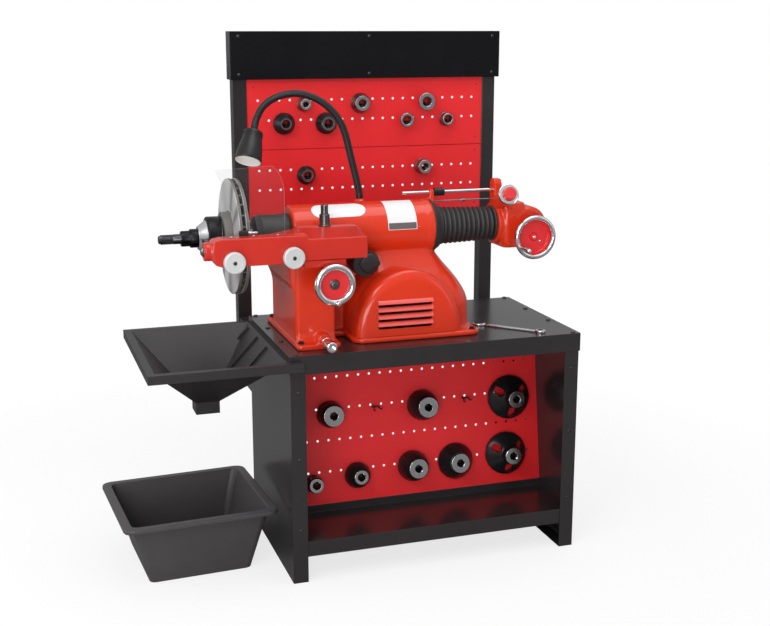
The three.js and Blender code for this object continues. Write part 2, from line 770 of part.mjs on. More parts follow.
function baseCasting() {
  const barrel = turned([
    [barrelLeft, 0], [barrelLeft, barrelRadius], [barrelRight - barrelRing, barrelRadius],
    [barrelRight - barrelRing, barrelRadius + barrelRingRise],
    [barrelRight, barrelRadius + barrelRingRise], [barrelRight, 0],
  ], spindleAt, toRight, sidesLarge);
  const web = loft([footBottom, spindleHeight - quillRadius].map((z) => roundedRing(
    columnRight - castWall * 2, neckLeft, -neckDepth, neckDepth, footCorner, z,
    footCornerSteps,
  )));
  const footPlan = roundedRing(footLeft, columnRight + castWall, footFront, footBack,
    footCorner, 0, footCornerSteps);
  const footPlate = loft([footBottom, flangeTop].map((z) => footPlan.map(
    (p) => point(p.x, p.y, z),
  )));
  const footMiddle = box(columnRight - castWall, bellLeft + bellCorner, footBellFront
    + bellCorner, -footBellFront - bellCorner, footBottom, flangeTop);
  const bellFoot = loft([footBottom, flangeTop].map((z) => roundedRing(
    bellLeft - castWall, footRight, footBellFront, -footBellFront, footBellCorner, z, bellFootSteps,
  )));
  const lug = box(rodLugLeft, rodLugRight, -rodLugHalf, rodLugHalf,
    spindleHeight + quillRadius + castWall, stopRodHeight + rodLugHalf);
  const switchBoss = rod(switchBossRadius, -switchBossLength, 0, switchAt, toFront,
    sidesMiddle);
  const plungerBoss = rod(plungerRadius + castWall / 2, -plungerBossLength, 0, plungerAt,
    toFront, sidesMiddle);
  const lampBoss = rod(lampBossRadius, -lampBossLength, 0, lampAt, upward, sidesMiddle);
  let cast = join(barrel, bell(0, footBottom), columnSkin(0, footBottom, columnTop), web,
    footPlate, footMiddle, bellFoot, lug, switchBoss, plungerBoss, lampBoss);
  cast = cast.add(rod(crossBossRadius, -(columnFront - crossBossFront) - castWall, 0,
    point(crossScrewX, crossBossFront, crossScrewHeight), toFront, sidesMiddle));

  const bore = rod(quillRadius + runGap, barrelLeft - overrun, barrelRight + overrun,
    spindleAt, toRight, sidesMiddle);
  const bellRoom = bell(-castWall, footBottom - overrun);
  const columnRoom = columnSkin(-columnWall, footBottom - overrun,
    crossScrewHeight - columnRoomDrop);
  const beltSlot = box(beltLeft - beltRoom, beltRight + beltRoom,
    -quillBore, quillBore, motorHeight, spindleHeight - quillBore / 2);
  const window = box(coverMiddle - coverHalf + windowInset, coverMiddle + coverHalf
    - windowInset * 2, -bellDepth - overrun, -bellDepth / 2, flangeTop + castWall,
  coverTop - windowInset * 2);
  const tongueSlot = box(crossScrewX - slideHalf - runGap, crossScrewX + slideHalf + runGap,
    columnFront - overrun, tongueBack + slideClearance, barBottom - runGap, columnTop + overrun);
  const barSlot = box(crossScrewX - slideHalf - runGap, crossScrewX + slideHalf + runGap,
    tongueBack - overrun, slideBack + slideClearance, barBottom - runGap, barTop + runGap);
  const pocket = box(crossScrewX - slideHalf - runGap, crossScrewX + slideHalf + runGap,
    lugFront - crossTravel - sink, slideBack + slideClearance, lugBottom - runGap,
    barBottom + overrun / 2);
  const screwHole = rod(crossScrewRadius + 2 * runGap, -(slideBack - crossBossFront) - overrun * 2,
    overrun, point(crossScrewX, crossBossFront, crossScrewHeight), toFront, sidesSmall);
  const stubHole = (at) => rod(stubRadius + runGap, -stubLength - runGap * 2, overrun, at,
    toFront, sidesSmall);
  const stopRodHole = rod(stopRodRadius + runGap, rodLugLeft - overrun, rodLugRight + overrun,
    point(0, 0, stopRodHeight), toRight, sidesSmall);
  const guideRodHole = rod(guideRodRadius + seatGap, barrelRight - guideRodSink - seatGap,
    barrelRight + overrun, point(0, 0, guideRodHeight), toRight, sidesSmall);
  for (const cut of [bore, bellRoom, columnRoom, beltSlot, window, tongueSlot, barSlot, pocket,
    screwHole, stubHole(switchAt), stubHole(plungerAt), stopRodHole, guideRodHole]) {
    cast = cast.subtract(cut);
  }
  add('base_casting', cast, colours.red);
}

const louvreCount = 4;
const louvreLeft = -182;
const louvreRight = 2;
const louvreRise = 46;
const louvreFirst = benchHeight + louvreRise;
const louvrePitch = 24;
const louvreSlot = 13;
const bladeThickness = 3;
const bladeWidth = 19;
const bladeTilt = 0.6;
const coverScrewShift = -159;
const coverScrewX = coverMiddle + coverScrewShift;
const coverScrewRise = 64;
const coverScrewHeight = benchHeight + coverScrewRise;
const coverScrewRadius = 8;

const archSteps = 18;

function archRing(half, rise, y) {
  const steps = archSteps;
  const points = [];
  for (let i = 0; i <= steps; i += 1) {
    const angle = (i / steps) * Math.PI;
    points.push(point(coverMiddle + half * Math.cos(angle), y,
      flangeTop + seatGap + rise * Math.sin(angle)));
  }
  return points;
}

function dome(inset, back) {
  const rise = coverTop - flangeTop - seatGap;
  const shoulder = coverShoulder + inset / 2;
  const front = coverFront + inset;
  return loft([
    archRing(coverHalf - inset, rise - inset, back),
    archRing(coverHalf - inset, rise - inset, shoulder),
    ...coverBendShares.map(({ wide, high, deep }) => archRing(
      coverHalf * wide - inset, rise * high - inset, shoulder + (front - shoulder) * deep,
    )),
  ]);
}

function motorCover() {
  const deep = -neckDepth;
  let cover = dome(0, deep).subtract(dome(coverSheet, deep + overrun));
  const keepOut = bell(seatGap, footBottom - overrun);
  cover = cover.subtract(keepOut);
  for (let i = 0; i < louvreCount; i += 1) {
    const z = louvreFirst + i * louvrePitch;
    cover = cover.subtract(box(louvreLeft, louvreRight, coverFront - overrun,
      coverFront + coverSheet + overrun, z, z + louvreSlot));
  }
  for (let i = 0; i < louvreCount; i += 1) {
    const z = louvreFirst + i * louvrePitch + louvreSlot;
    const blade = new THREE.BoxGeometry(louvreRight - louvreLeft + 2 * bladeThickness,
      bladeThickness, bladeWidth);
    blade.translate(0, 0, -bladeWidth / 2 + bladeThickness);
    blade.rotateX(-bladeTilt);
    blade.translate((louvreLeft + louvreRight) / 2, coverFront + bladeThickness / 2, z);
    cover = cover.add(solid(blade));
  }
  const screw = rod(coverScrewRadius, -coverSheet, coverSheet,
    point(coverScrewX, coverShoulder - coverSheet, coverScrewHeight), toFront, sidesHex);
  cover = cover.add(screw);
  add('motor_cover', cover, colours.red);
}

baseCasting();
motorCover();

// Motor and belt drive
const motorRadius = 62;
const motorLeft = -50;
const motorRight = 78;
const motorShaftRadius = 8;
const motorFootHalf = 45;
const motorFootInset = 12;
const motorNoseShare = 0.6;
const motorTailShare = 0.7;
const motorFootShare = 0.8;
const motorAt = point(0, 0, motorHeight);

function motorStator() {
  const body = turned([
    [motorLeft, motorShaftRadius + runGap], [motorLeft, motorRadius * motorNoseShare],
    [motorLeft + motorFootInset, motorRadius], [motorRight - motorFootInset, motorRadius],
    [motorRight, motorRadius * motorTailShare], [motorRight, motorShaftRadius + runGap],
    [motorLeft, motorShaftRadius + runGap],
  ], motorAt, toRight, sidesMiddle);
  const foot = box(motorLeft + motorFootInset, motorRight - motorFootInset, -motorFootHalf,
    motorFootHalf, footBottom, motorHeight - motorRadius * motorFootShare);
  add('motor_stator', body.add(foot), colours.darkSteel);
}

function motorShaft() {
  const pulleyLeft = beltLeft - pulleyOverhang;
  const pulleyRight = beltRight + pulleyOverhang;
  add('motor_shaft', turned([
    [pulleyLeft - pulleyOverhang, 0], [pulleyLeft - pulleyOverhang, motorShaftRadius],
    [pulleyLeft, motorShaftRadius], [pulleyLeft, motorPulleyRadius],
    [pulleyRight, motorPulleyRadius], [pulleyRight, motorShaftRadius],
    [motorRight - motorFootInset, motorShaftRadius], [motorRight - motorFootInset, 0],
  ], motorAt, toRight, sidesMiddle), colours.steel);
}

// Outline of a belt round two pulleys, seen along X
function beltShape(upper, lower) {
  const distance = spindleHeight - motorHeight;
  const lean = Math.asin((upper - lower) / distance);
  const clear = Math.cos((Math.PI / 2 + lean) / beltArcSteps);
  const shape = new THREE.Shape();
  shape.absarc(0, spindleHeight, upper / clear, -lean, Math.PI + lean, false);
  shape.absarc(0, motorHeight, lower / clear, Math.PI + lean, 2 * Math.PI - lean, false);
  shape.closePath();
  return shape;
}

function driveBelt() {
  const outer = beltShape(spindlePulleyRadius + seatGap + beltThickness,
    motorPulleyRadius + seatGap + beltThickness);
  const inner = beltShape(spindlePulleyRadius + seatGap, motorPulleyRadius + seatGap);
  const belt = sidePlate(outer, beltLeft, beltRight, beltArcSteps)
    .subtract(sidePlate(inner, beltLeft - overrun, beltRight + overrun, beltArcSteps));
  add('drive_belt', belt, colours.rubber);
}

function spindlePulley() {
  add('spindle_pulley', ring(shaftRadius + runGap, spindlePulleyRadius,
    beltLeft - pulleyOverhang, beltRight + pulleyOverhang, spindleAt, toRight, sidesMiddle),
  colours.steel);
}

motorStator();
motorShaft();
driveBelt();
spindlePulley();

// Quill, nose boot and bellows
const quillTravel = 70;
const bootTip = 21;
const bootLeft = quillLeft - bootTip;
const bootRadius = 66;
const bootTipRadius = 61;
const bellowsRibs = 11;
const bellowsBore = 46;
const bellowsCrestLeft = 64;
const bellowsCrestRight = 57;
const bellowsFold = 9;
const bellowsCuff = 8;
const bellowsCuffRise = 3;
const crestStartShare = 0.34;
const crestEndShare = 0.66;

function quillTube() {
  const bush = shaftRadius + runGap;
  let tube = turned([
    [quillLeft, bush], [quillLeft, quillRadius], [quillNeckLeft, quillRadius],
    [quillNeckLeft, quillNeckRadius], [quillRight, quillNeckRadius], [quillRight, bush],
    [quillNeckLeft - bushLength, bush], [quillNeckLeft - bushLength, quillBore],
    [quillLeft + bushLength, quillBore], [quillLeft + bushLength, bush], [quillLeft, bush],
  ], spindleAt, toRight, sidesMiddle);
  const left = beltLeft - pulleyOverhang - beltRoom / 2;
  const right = beltRight + pulleyOverhang + beltRoom / 2 + quillTravel;
  tube = tube.subtract(box(left, right, -quillRadius - overrun, quillRadius + overrun,
    spindleHeight - quillRadius - overrun, spindleHeight + shaftRadius / 2));
  add('quill_tube', tube, colours.steel);
}

function noseBoot() {
  const wall = quillLeft - seatGap;
  add('nose_boot', turned([
    [bootLeft, shaftRadius + overrun], [bootLeft, bootTipRadius],
    [wall, bootRadius], [barrelLeft - seatGap, bootRadius],
    [barrelLeft - seatGap, quillRadius + seatGap], [wall, quillRadius + seatGap],
    [wall, shaftRadius + overrun], [bootLeft, shaftRadius + overrun],
  ], spindleAt, toRight, sidesMiddle), colours.rubber);
}

function bellows() {
  const left = barrelRight + seatGap;
  const right = quillRight;
  const first = left + bellowsCuff;
  const pitch = (right - bellowsCuff - first) / bellowsRibs;
  const profile = [
    [left, bellowsBore], [left, bellowsCrestLeft + bellowsCuffRise],
    [first, bellowsCrestLeft + bellowsCuffRise],
  ];
  for (let i = 0; i < bellowsRibs; i += 1) {
    const share = (i + 0.5) / bellowsRibs;
    const crest = bellowsCrestLeft + (bellowsCrestRight - bellowsCrestLeft) * share;
    const x = first + i * pitch;
    profile.push([x, crest - bellowsFold], [x + pitch * crestStartShare, crest],
      [x + pitch * crestEndShare, crest]);
  }
  profile.push(
    [right - bellowsCuff, bellowsCrestRight - bellowsFold],
    [right - bellowsCuff, bellowsCrestRight + bellowsCuffRise],
    [right, bellowsCrestRight + bellowsCuffRise], [right, bellowsBore], [left, bellowsBore],
  );
  add('bellows', turned(profile, spindleAt, toRight, sidesBoard), colours.rubber);
}

quillTube();
noseBoot();
bellows();

// Spindle, arbor and the brake disc clamped on it
const bootTipGap = 1;
const arborTip = -846;
const arborEdge = 3;
const nutFlange = 5;
const nutGripShare = 0.55;
const cupEdge = 4;
const vaneInset = 2;
const vaneOutset = 4;
const arborRadius = 16;
const arborEnd = -560;
const nutLeft = -775;
const nutRadius = 25;
const coneLeft = -721;
const coneSmall = 38;
const coneLarge = 56;
const cupLeft = -694;
const cupRadius = 67;
const cupWall = 9;
const discLeft = -619;
const discThickness = 31;
const discRadius = 186;
const discCheek = 10;
const discInner = 98;
const hatDepth = 26;
const hatLeft = discLeft - hatDepth;
const hatRadius = 80;
const hatWall = 8;
const hatBore = 34;
const vaneCount = 15;
const vaneThickness = 5;
const collarRadius = 32;
const shaftInset = 12;
const shaftRight = quillRight - shaftInset;

function spindleShaft() {
  const shoulder = bootLeft - bootTipGap;
  add('spindle_shaft', turned([
    [arborTip, 0], [arborTip, arborRadius - arborEdge], [arborTip + arborEdge, arborRadius],
    [arborEnd, arborRadius], [arborEnd, collarRadius - arborEdge],
    [shoulder, collarRadius - arborEdge], [shoulder, shaftRadius],
    [shaftRight, shaftRadius], [shaftRight, 0],
  ], spindleAt, toRight, sidesMiddle), colours.chrome);
}

function arborPieces() {
  const fit = arborRadius + seatGap;
  const nutRight = coneLeft - seatGap;
  const grip = (nutRight - nutLeft) * nutGripShare;
  add('arbor_nut', turned([
    [nutLeft, fit], [nutLeft, nutRadius], [nutLeft + grip, nutRadius],
    [nutLeft + grip, nutRadius + nutFlange], [nutRight, nutRadius + nutFlange],
    [nutRight, fit],
    [nutLeft, fit],
  ], spindleAt, toRight, sidesMiddle), colours.darkSteel);
  const coneRight = cupLeft - seatGap;
  add('arbor_cone', turned([
    [coneLeft, fit], [coneLeft, coneSmall], [coneRight, coneLarge], [coneRight, fit],
    [coneLeft, fit],
  ], spindleAt, toRight, sidesMiddle), colours.chrome);
  const cupRight = hatLeft - seatGap;
  add('arbor_cup', turned([
    [cupLeft, fit], [cupLeft, cupRadius - cupEdge], [cupLeft + cupEdge, cupRadius],
    [cupRight, cupRadius], [cupRight, cupRadius - cupWall],
    [cupLeft + cupWall, cupRadius - cupWall], [cupLeft + cupWall, fit], [cupLeft, fit],
  ], spindleAt, toRight, sidesMiddle), colours.black);
  const collarLeft = hatLeft + hatWall + seatGap;
  const collarRight = arborEnd - seatGap;
  add('arbor_collar', turned([
    [collarLeft, fit], [collarLeft, hatBore + castWall * 2],
    [collarLeft + castWall, hatBore + castWall * 2], [discLeft, collarRadius],
    [collarRight, collarRadius], [collarRight, fit], [collarLeft, fit],
  ], spindleAt, toRight, sidesMiddle), colours.darkSteel);
}

function brakeDisc() {
  const right = discLeft + discThickness;
  let disc = turned([
    [hatLeft, hatBore], [hatLeft, hatRadius], [discLeft, hatRadius], [discLeft, discRadius],
    [discLeft + discCheek, discRadius], [discLeft + discCheek, discInner],
    [right - discCheek, discInner], [right - discCheek, discRadius], [right, discRadius],
    [right, hatRadius - hatWall], [hatLeft + hatWall, hatRadius - hatWall],
    [hatLeft + hatWall, hatBore], [hatLeft, hatBore],
  ], spindleAt, toRight, sidesLarge);
  const from = discInner - vaneInset;
  const to = discRadius - vaneOutset;
  for (let i = 0; i < vaneCount; i += 1) {
    const vane = new THREE.BoxGeometry(discThickness - discCheek, vaneThickness, to - from);
    vane.translate(discLeft + discThickness / 2, 0, (from + to) / 2);
    vane.rotateX((i / vaneCount) * 2 * Math.PI);
    vane.translate(0, 0, spindleHeight);
    disc = disc.add(solid(vane));
  }
  add('brake_disc', disc, colours.iron);
}

spindleShaft();
arborPieces();
brakeDisc();

// Cross slide and twin cutter
const cutterFront = -262;
const armDepth = 62;
const armBack = cutterFront + armDepth;
const armLeft = -738;
const armTopRise = 35;
const armBottomDrop = 51;
const armTop = spindleHeight + armTopRise;
const armBottom = spindleHeight - armBottomDrop;
const blockLeft = -430;
const blockRight = -232;
const blockBack = -97;
const blockStep = 5;
const blockFrontRise = 22;
const blockBackRise = 40;
const blockBottom = armBottom + blockStep;
const blockFrontTop = spindleHeight + blockFrontRise;
const blockBackTop = spindleHeight + blockBackRise;
const blockShoulder = -150;
const gussetLeft = -565;
const gussetEdge = 10;
const armTopCut = 12;
const armEndDrop = 54;
const armChin = 24;
const armBrow = 16;
const armTaper = 48;
const armEdge = 4;
const armStepLeft = 6;
const endBossRadius = 29;
const lockLength = 8;
const lockRadius = 15;
const lockEdge = 2;
const lockBevel = 5;
const endBossReach = 6;
const endBossLeft = armLeft - endBossReach;
const endBossDrop = 4;
const endBossAt = point(0, (cutterFront + armBack) / 2, spindleHeight - endBossDrop);
const leftDialX = -658;
const leftDialDrop = 35;
const rightDialX = -474;
const rightDialDrop = 30;
const leftDialAt = point(leftDialX, cutterFront, spindleHeight - leftDialDrop);
const rightDialAt = point(rightDialX, cutterFront, spindleHeight - rightDialDrop);
const dialRadius = 33.5;
const dialDepth = 26;
const dialBackEdge = 4;
const dialEdge = 3;
const dialScrew = 2;
const leftBarX = -712;
const rightBarX = -505;
const barHalf = 11;
const barDrop = 12;
const barThickness = 25;
const barCover = 25;
const barLow = spindleHeight - barDrop;
const barHigh = barLow + barThickness;
const barFrontEnd = cutterFront + barCover;
const barBackEnd = blockBack;
const barTravel = 3;
const barSideGap = 2;
const barEndGap = 1;
const tipReach = 4;
const tipLength = 14;
const tipThickness = 5;
const tipOverhang = 1;
const clampX = -335;
const clampY = -128;
const clampAt = point(clampX, clampY, blockBackTop);
const clampStudRadius = 8;
const clampWasher = 5;
const clampWasherRadius = 20;
const clampNutRadius = 16.5;
const clampNutTop = 38;
const clampEndRadius = 12;
const clampEnd = 68;
const clampEdge = 2;
const slidePlateWidth = 132;
const slidePlateLeft = -436;
const slidePlateRight = slidePlateLeft + slidePlateWidth;

function crossSlide() {
  const plate = box(slidePlateLeft, slidePlateRight, cutterFront, blockBack,
    columnTop + seatGap, blockBottom - seatGap);
  const tongue = box(crossScrewX - slideHalf, crossScrewX + slideHalf, tongueFront, tongueBack,
    barBottom, columnTop + sink);
  const bar = box(crossScrewX - slideHalf, crossScrewX + slideHalf, tongueBack - sink, slideBack,
    barBottom, barTop);
  const lug = box(crossScrewX - slideHalf, crossScrewX + slideHalf, lugFront, slideBack,
    lugBottom, barBottom + sink);
  const hole = rod(crossScrewRadius + 2 * runGap, -overrun, slideBack - lugFront + overrun,
    point(crossScrewX, lugFront, crossScrewHeight), toBack, sidesSmall);
  add('cross_slide', join(plate, tongue, bar, lug).subtract(hole), colours.steel);
}

function cutterBody() {
  const armOutline = outline([
    [armLeft, armTop - armTopCut], [armLeft, armTop - armEndDrop],
    [armLeft + armChin, armBottom + armEdge], [armLeft + armTaper, armBottom],
    [columnLeft - armStepLeft, armBottom], [columnLeft - armEdge, blockBottom],
    [blockLeft + overrun, blockBottom], [blockLeft + overrun, armTop],
    [armLeft + armTaper, armTop], [armLeft + armBrow, armTop - armEdge],
  ]);
  const arm = frontPlate(armOutline, cutterFront, armBack);
  const block = sidePlate(outline([
    [cutterFront, blockBottom], [blockBack, blockBottom], [blockBack, blockBackTop],
    [blockShoulder, blockBackTop], [cutterFront, blockFrontTop],
  ]), blockLeft, blockRight);
  const gusset = flatPlate(outline([
    [gussetLeft, armBack - sink], [blockLeft + sink, armBack - sink],
    [blockLeft + sink, blockBack], [blockLeft - gussetEdge, blockBack],
  ]), blockBottom + blockStep, armTop - armEdge);
  const boss = rod(endBossRadius, endBossLeft, leftBarX + barHalf, endBossAt, toRight,
    sidesMiddle);
  let body = join(arm, block, gusset, boss);
  const dialHole = (at) => rod(stubRadius + runGap, -stubLength - runGap * 2, overrun, at,
    toFront, sidesSmall);
  const barRoom = (x) => box(x - barHalf - barTravel - barSideGap,
    x + barHalf + barTravel + barSideGap, barFrontEnd - barEndGap, blockBack + overrun,
    barLow - runGap, barHigh + runGap);
  const endHole = rod(stubRadius + runGap, endBossLeft - overrun, endBossLeft + stubLength
    + runGap * 2, endBossAt, toRight, sidesSmall);
  const clampHole = rod(boreFor(clampStudRadius, sidesSmall), -stubLength * 2, overrun,
    clampAt, upward, sidesSmall);
  const cuts = [dialHole(leftDialAt), dialHole(rightDialAt), barRoom(leftBarX),
    barRoom(rightBarX), endHole, clampHole];
  for (const cut of cuts) body = body.subtract(cut);
  add('cutter_body', body, colours.red);
}

function toolBar(name, x, side) {
  const bar = box(x - barHalf, x + barHalf, barFrontEnd, barBackEnd, barLow, barHigh);
  const middle = (barLow + barHigh) / 2;
  const inner = x + side * barHalf;
  const tip = outline([
    [inner - side * tipReach, barBackEnd - tipLength],
    [inner + side * tipReach, barBackEnd - tipLength / 2],
    [inner - side * tipReach, barBackEnd + tipOverhang],
  ]);
  add(name, bar.add(flatPlate(tip, middle, middle + tipThickness)), colours.darkSteel);
}

function dial(name, at) {
  add(name, turned([
    [-stubLength, 0], [-stubLength, stubRadius], [seatGap, stubRadius],
    [seatGap, dialRadius - dialBackEdge], [seatGap + dialBackEdge, dialRadius],
    [dialDepth - dialEdge, dialRadius], [dialDepth, dialRadius - dialEdge],
    [dialDepth, stubRadius], [dialDepth + dialScrew, stubRadius - dialScrew / 2],
    [dialDepth + dialScrew, 0],
  ], at, toFront, sidesMiddle), colours.chrome);
}

function clampNut() {
  add('clamp_nut', turned([
    [-stubLength * 1.5, 0], [-stubLength * 1.5, clampStudRadius], [seatGap, clampStudRadius],
    [seatGap, clampWasherRadius], [clampWasher, clampWasherRadius],
    [clampWasher, clampNutRadius], [clampNutTop, clampNutRadius],
    [clampNutTop, clampEndRadius], [clampEnd - clampEdge, clampEndRadius],
    [clampEnd, clampEndRadius - clampEdge], [clampEnd, 0],
  ], clampAt, upward, sidesSmall), colours.darkSteel);
}

function endKnob() {
  add('end_knob', turned([
    [endBossLeft - lockLength, 0], [endBossLeft - lockLength, lockRadius - lockBevel],
    [endBossLeft - lockLength + lockEdge, lockRadius], [endBossLeft - seatGap, lockRadius],
    [endBossLeft - seatGap, stubRadius],
    [endBossLeft + stubLength, stubRadius], [endBossLeft + stubLength, 0],
  ], endBossAt, toRight, sidesSmall), colours.steel);
}

// Clear chip guard on the arm
const guardShoulderShare = 2;
const guardBendShare = 0.2;
const guardBendDropShare = 0.4;
const guardNeckShare = 1.2;
const guardSteps = 6;
const guardInset = 29;
const guardFront = cutterFront + guardInset;
const guardSheet = 3;
const guardLeft = -684;
const guardRight = -490;
const guardHeight = 213;
const guardTop = armTop + guardHeight;
const guardFlare = 16;
const guardCorner = 38;
const guardFootDepth = 16;

function chipGuard() {
  const bottom = armTop + seatGap;
  const shape = new THREE.Shape();
  shape.moveTo(guardLeft, bottom);
  shape.lineTo(guardRight, bottom);
  shape.lineTo(guardRight, guardTop - guardCorner * guardShoulderShare);
  shape.quadraticCurveTo(guardRight - guardCorner * guardBendShare,
    guardTop - guardCorner * guardBendDropShare, guardRight - guardCorner, guardTop);
  shape.lineTo(guardLeft - guardFlare, guardTop - guardFlare / 2);
  shape.lineTo(guardLeft, guardTop - guardCorner * guardNeckShare);
  shape.closePath();
  const sheet = frontPlate(shape, guardFront, guardFront + guardSheet, guardSteps);
  const foot = box(guardLeft, guardRight, guardFront - guardFootDepth, guardFront + sink, bottom,
    bottom + guardSheet);
  add('chip_guard', sheet.add(foot), colours.clear);
}

crossSlide();
cutterBody();
toolBar('tool_bar_left', leftBarX, 1);
toolBar('tool_bar_right', rightBarX, -1);
dial('dial_left', leftDialAt);
dial('dial_right', rightDialAt);
clampNut();
endKnob();
chipGuard();

// Cross feed screw, handwheel and its grip
const crossWheelGap = 22;
const crossWheelPlane = crossBossFront - crossWheelGap;
const crossWheelRadius = 67;
const crossWheelDish = 43.5;
const crossRimHalf = 12;
const crossRimEdge = 1;
const crossRimSide = 9;
const crossRimMiddle = 55;
const crossRimDrop = 4;
const crossWebEdge = 2;
const crossWebFace = 6;
const crossHubRadius = 16;
const crossHubGap = 1;
const crossHubBore = 13;
const crossCap = 2;
const crossCapRadius = 13;
const crossGripRadius = 8;
const crossGripLength = 20;
const crossGripEdge = 4;
const crossGripBevel = 3;
const crossGripTurn = -1.5;

function crossFeed() {
  const hubBack = crossWheelPlane - crossBossFront + crossHubGap;
  const blind = hubBack + crossHubBore;
  const at = point(crossScrewX, crossWheelPlane, crossScrewHeight);
  add('cross_screw', rod(crossScrewRadius, crossWheelPlane - slideBack - overrun,
    blind - seatGap, at, toFront, sidesSmall), colours.steel);
  const bore = crossScrewRadius + seatGap;
  let wheel = turned([
    [hubBack, bore], [hubBack, crossHubRadius], [-crossRimHalf, crossHubRadius],
    [-crossRimHalf - crossWebEdge, crossWheelDish],
    [-crossRimHalf + crossRimEdge, crossRimMiddle],
    [-crossRimSide, crossWheelRadius - crossRimDrop], [0, crossWheelRadius],
    [crossRimSide, crossWheelRadius - crossRimDrop], [crossRimHalf, crossRimMiddle],
    [crossRimSide, crossWheelDish + crossRimDrop], [0, crossWheelDish],
    [-crossWebFace, crossWheelDish - crossRimDrop], [-crossWebFace, crossCapRadius],
    [crossCap, crossCapRadius - crossCap], [crossCap, 0], [blind, 0], [blind, bore],
    [hubBack, bore],
  ], at, toFront, sidesMiddle);
  const gripCircle = (crossWheelDish + crossWheelRadius) / 2;
  const gripAt = point(
    crossScrewX + gripCircle * Math.cos(crossGripTurn), crossWheelPlane - crossRimHalf,
    crossScrewHeight + gripCircle * Math.sin(crossGripTurn),
  );
  const pin = stubRadius / 2;
  wheel = wheel.subtract(rod(pin + seatGap, -stubLength, overrun, gripAt, toFront,
    sidesSmall));
  add('cross_handwheel', wheel, colours.chrome);
  add('cross_wheel_grip', turned([
    [-stubLength + seatGap, 0], [-stubLength + seatGap, pin], [seatGap, pin],
    [seatGap, crossGripRadius - crossGripEdge / 2], [crossGripEdge, crossGripRadius],
    [crossGripLength - crossGripEdge, crossGripRadius],
    [crossGripLength, crossGripRadius - crossGripBevel], [crossGripLength, 0],
  ], gripAt, toFront, sidesSmall), colours.chrome);
}

crossFeed();

// Feed box on the quill's right end, its knob, handwheel and grip
const boxLeft = quillRight + seatGap;
const boxFlange = 26;
const boxFlangeRadius = 72;
const boxWidth = 101.7;
const boxRight = boxLeft + boxWidth;
const boxFront = -78;
const boxBack = 60;
const boxBottomDrop = 79;
const boxTopRise = 75;
const boxBottom = spindleHeight - boxBottomDrop;
const boxTop = spindleHeight + boxTopRise;
const boxLevelShares = [0, 0.12, 0.88, 1];
const boxCorner = 22;
const gearCaseShift = 6;
const gearCaseX = boxRight + gearCaseShift;
const gearCaseDrop = 5;
const gearCaseHeight = spindleHeight - gearCaseDrop;
const gearCaseEdge = 12;
const gearCaseRadius = 66;
const feedWheelInset = 1;
const feedWheelX = boxRight - feedWheelInset;
const feedWheelDrop = 34;
const feedWheelHeight = spindleHeight - feedWheelDrop;
const feedWheelRadius = 74;
const feedBossRadius = 26;
const feedBossReach = 40;
const feedBossFront = boxFront - feedBossReach;
const feedWheelGap = 22;
const feedWheelPlane = feedBossFront - feedWheelGap;
const feedDishDepth = 30;
const feedGripTurn = 3.63;
const feedGripLength = 78;
const upperLugThickness = 27.7;
const upperLugRight = boxLeft + upperLugThickness;
const upperLugHalf = 22;
const upperLugRise = 38;
const upperLugTop = stopRodHeight + upperLugRise;
const upperLugDrop = 14;
const upperLugCut = 10;
const knobAxis = point(0, -0.9135, 0.4067);
const knobShift = 9.7;
const knobFront = -112;
const knobRise = 109;
const knobAt = point(boxLeft + knobShift, knobFront, spindleHeight + knobRise);
const knobBossLength = 100;
const knobBossRadius = 24;
const knobRingRadius = 36;
const knobFaceRadius = 21;

const boxCornerSteps = 3;
const knobEdge = 2;
const knobRing = 11;
const knobRingBevel = 3;
const knobLength = 28;
const feedHubRadius = 15;
const feedWeb = 4;
const feedWebOffset = 1;
const feedRimHalf = 10;
const feedRimBackDrop = 18;
const feedRimFrontDrop = 21;
const feedRimShares = [
  { along: -0.8, drop: 0.8 }, { along: -0.6, drop: 0.1 }, { along: 0.2, drop: -0.1 },
  { along: 0.9, drop: 0.2 }, { along: 1, drop: 0.8 }, { along: 0.4, drop: 1.3 },
  { along: -0.4, drop: 1.6 },
];
const feedCapDepth = 6;
const feedCapRadius = 12;
const feedCapEdge = 2;
const feedGripInset = 8;
const feedGripRadius = 9;
const feedGripNeckRadius = 6;
const feedGripWaist = 8;
const feedGripWaistRadius = 7;
const feedGripShoulder = 14;
const feedGripEdge = 4;

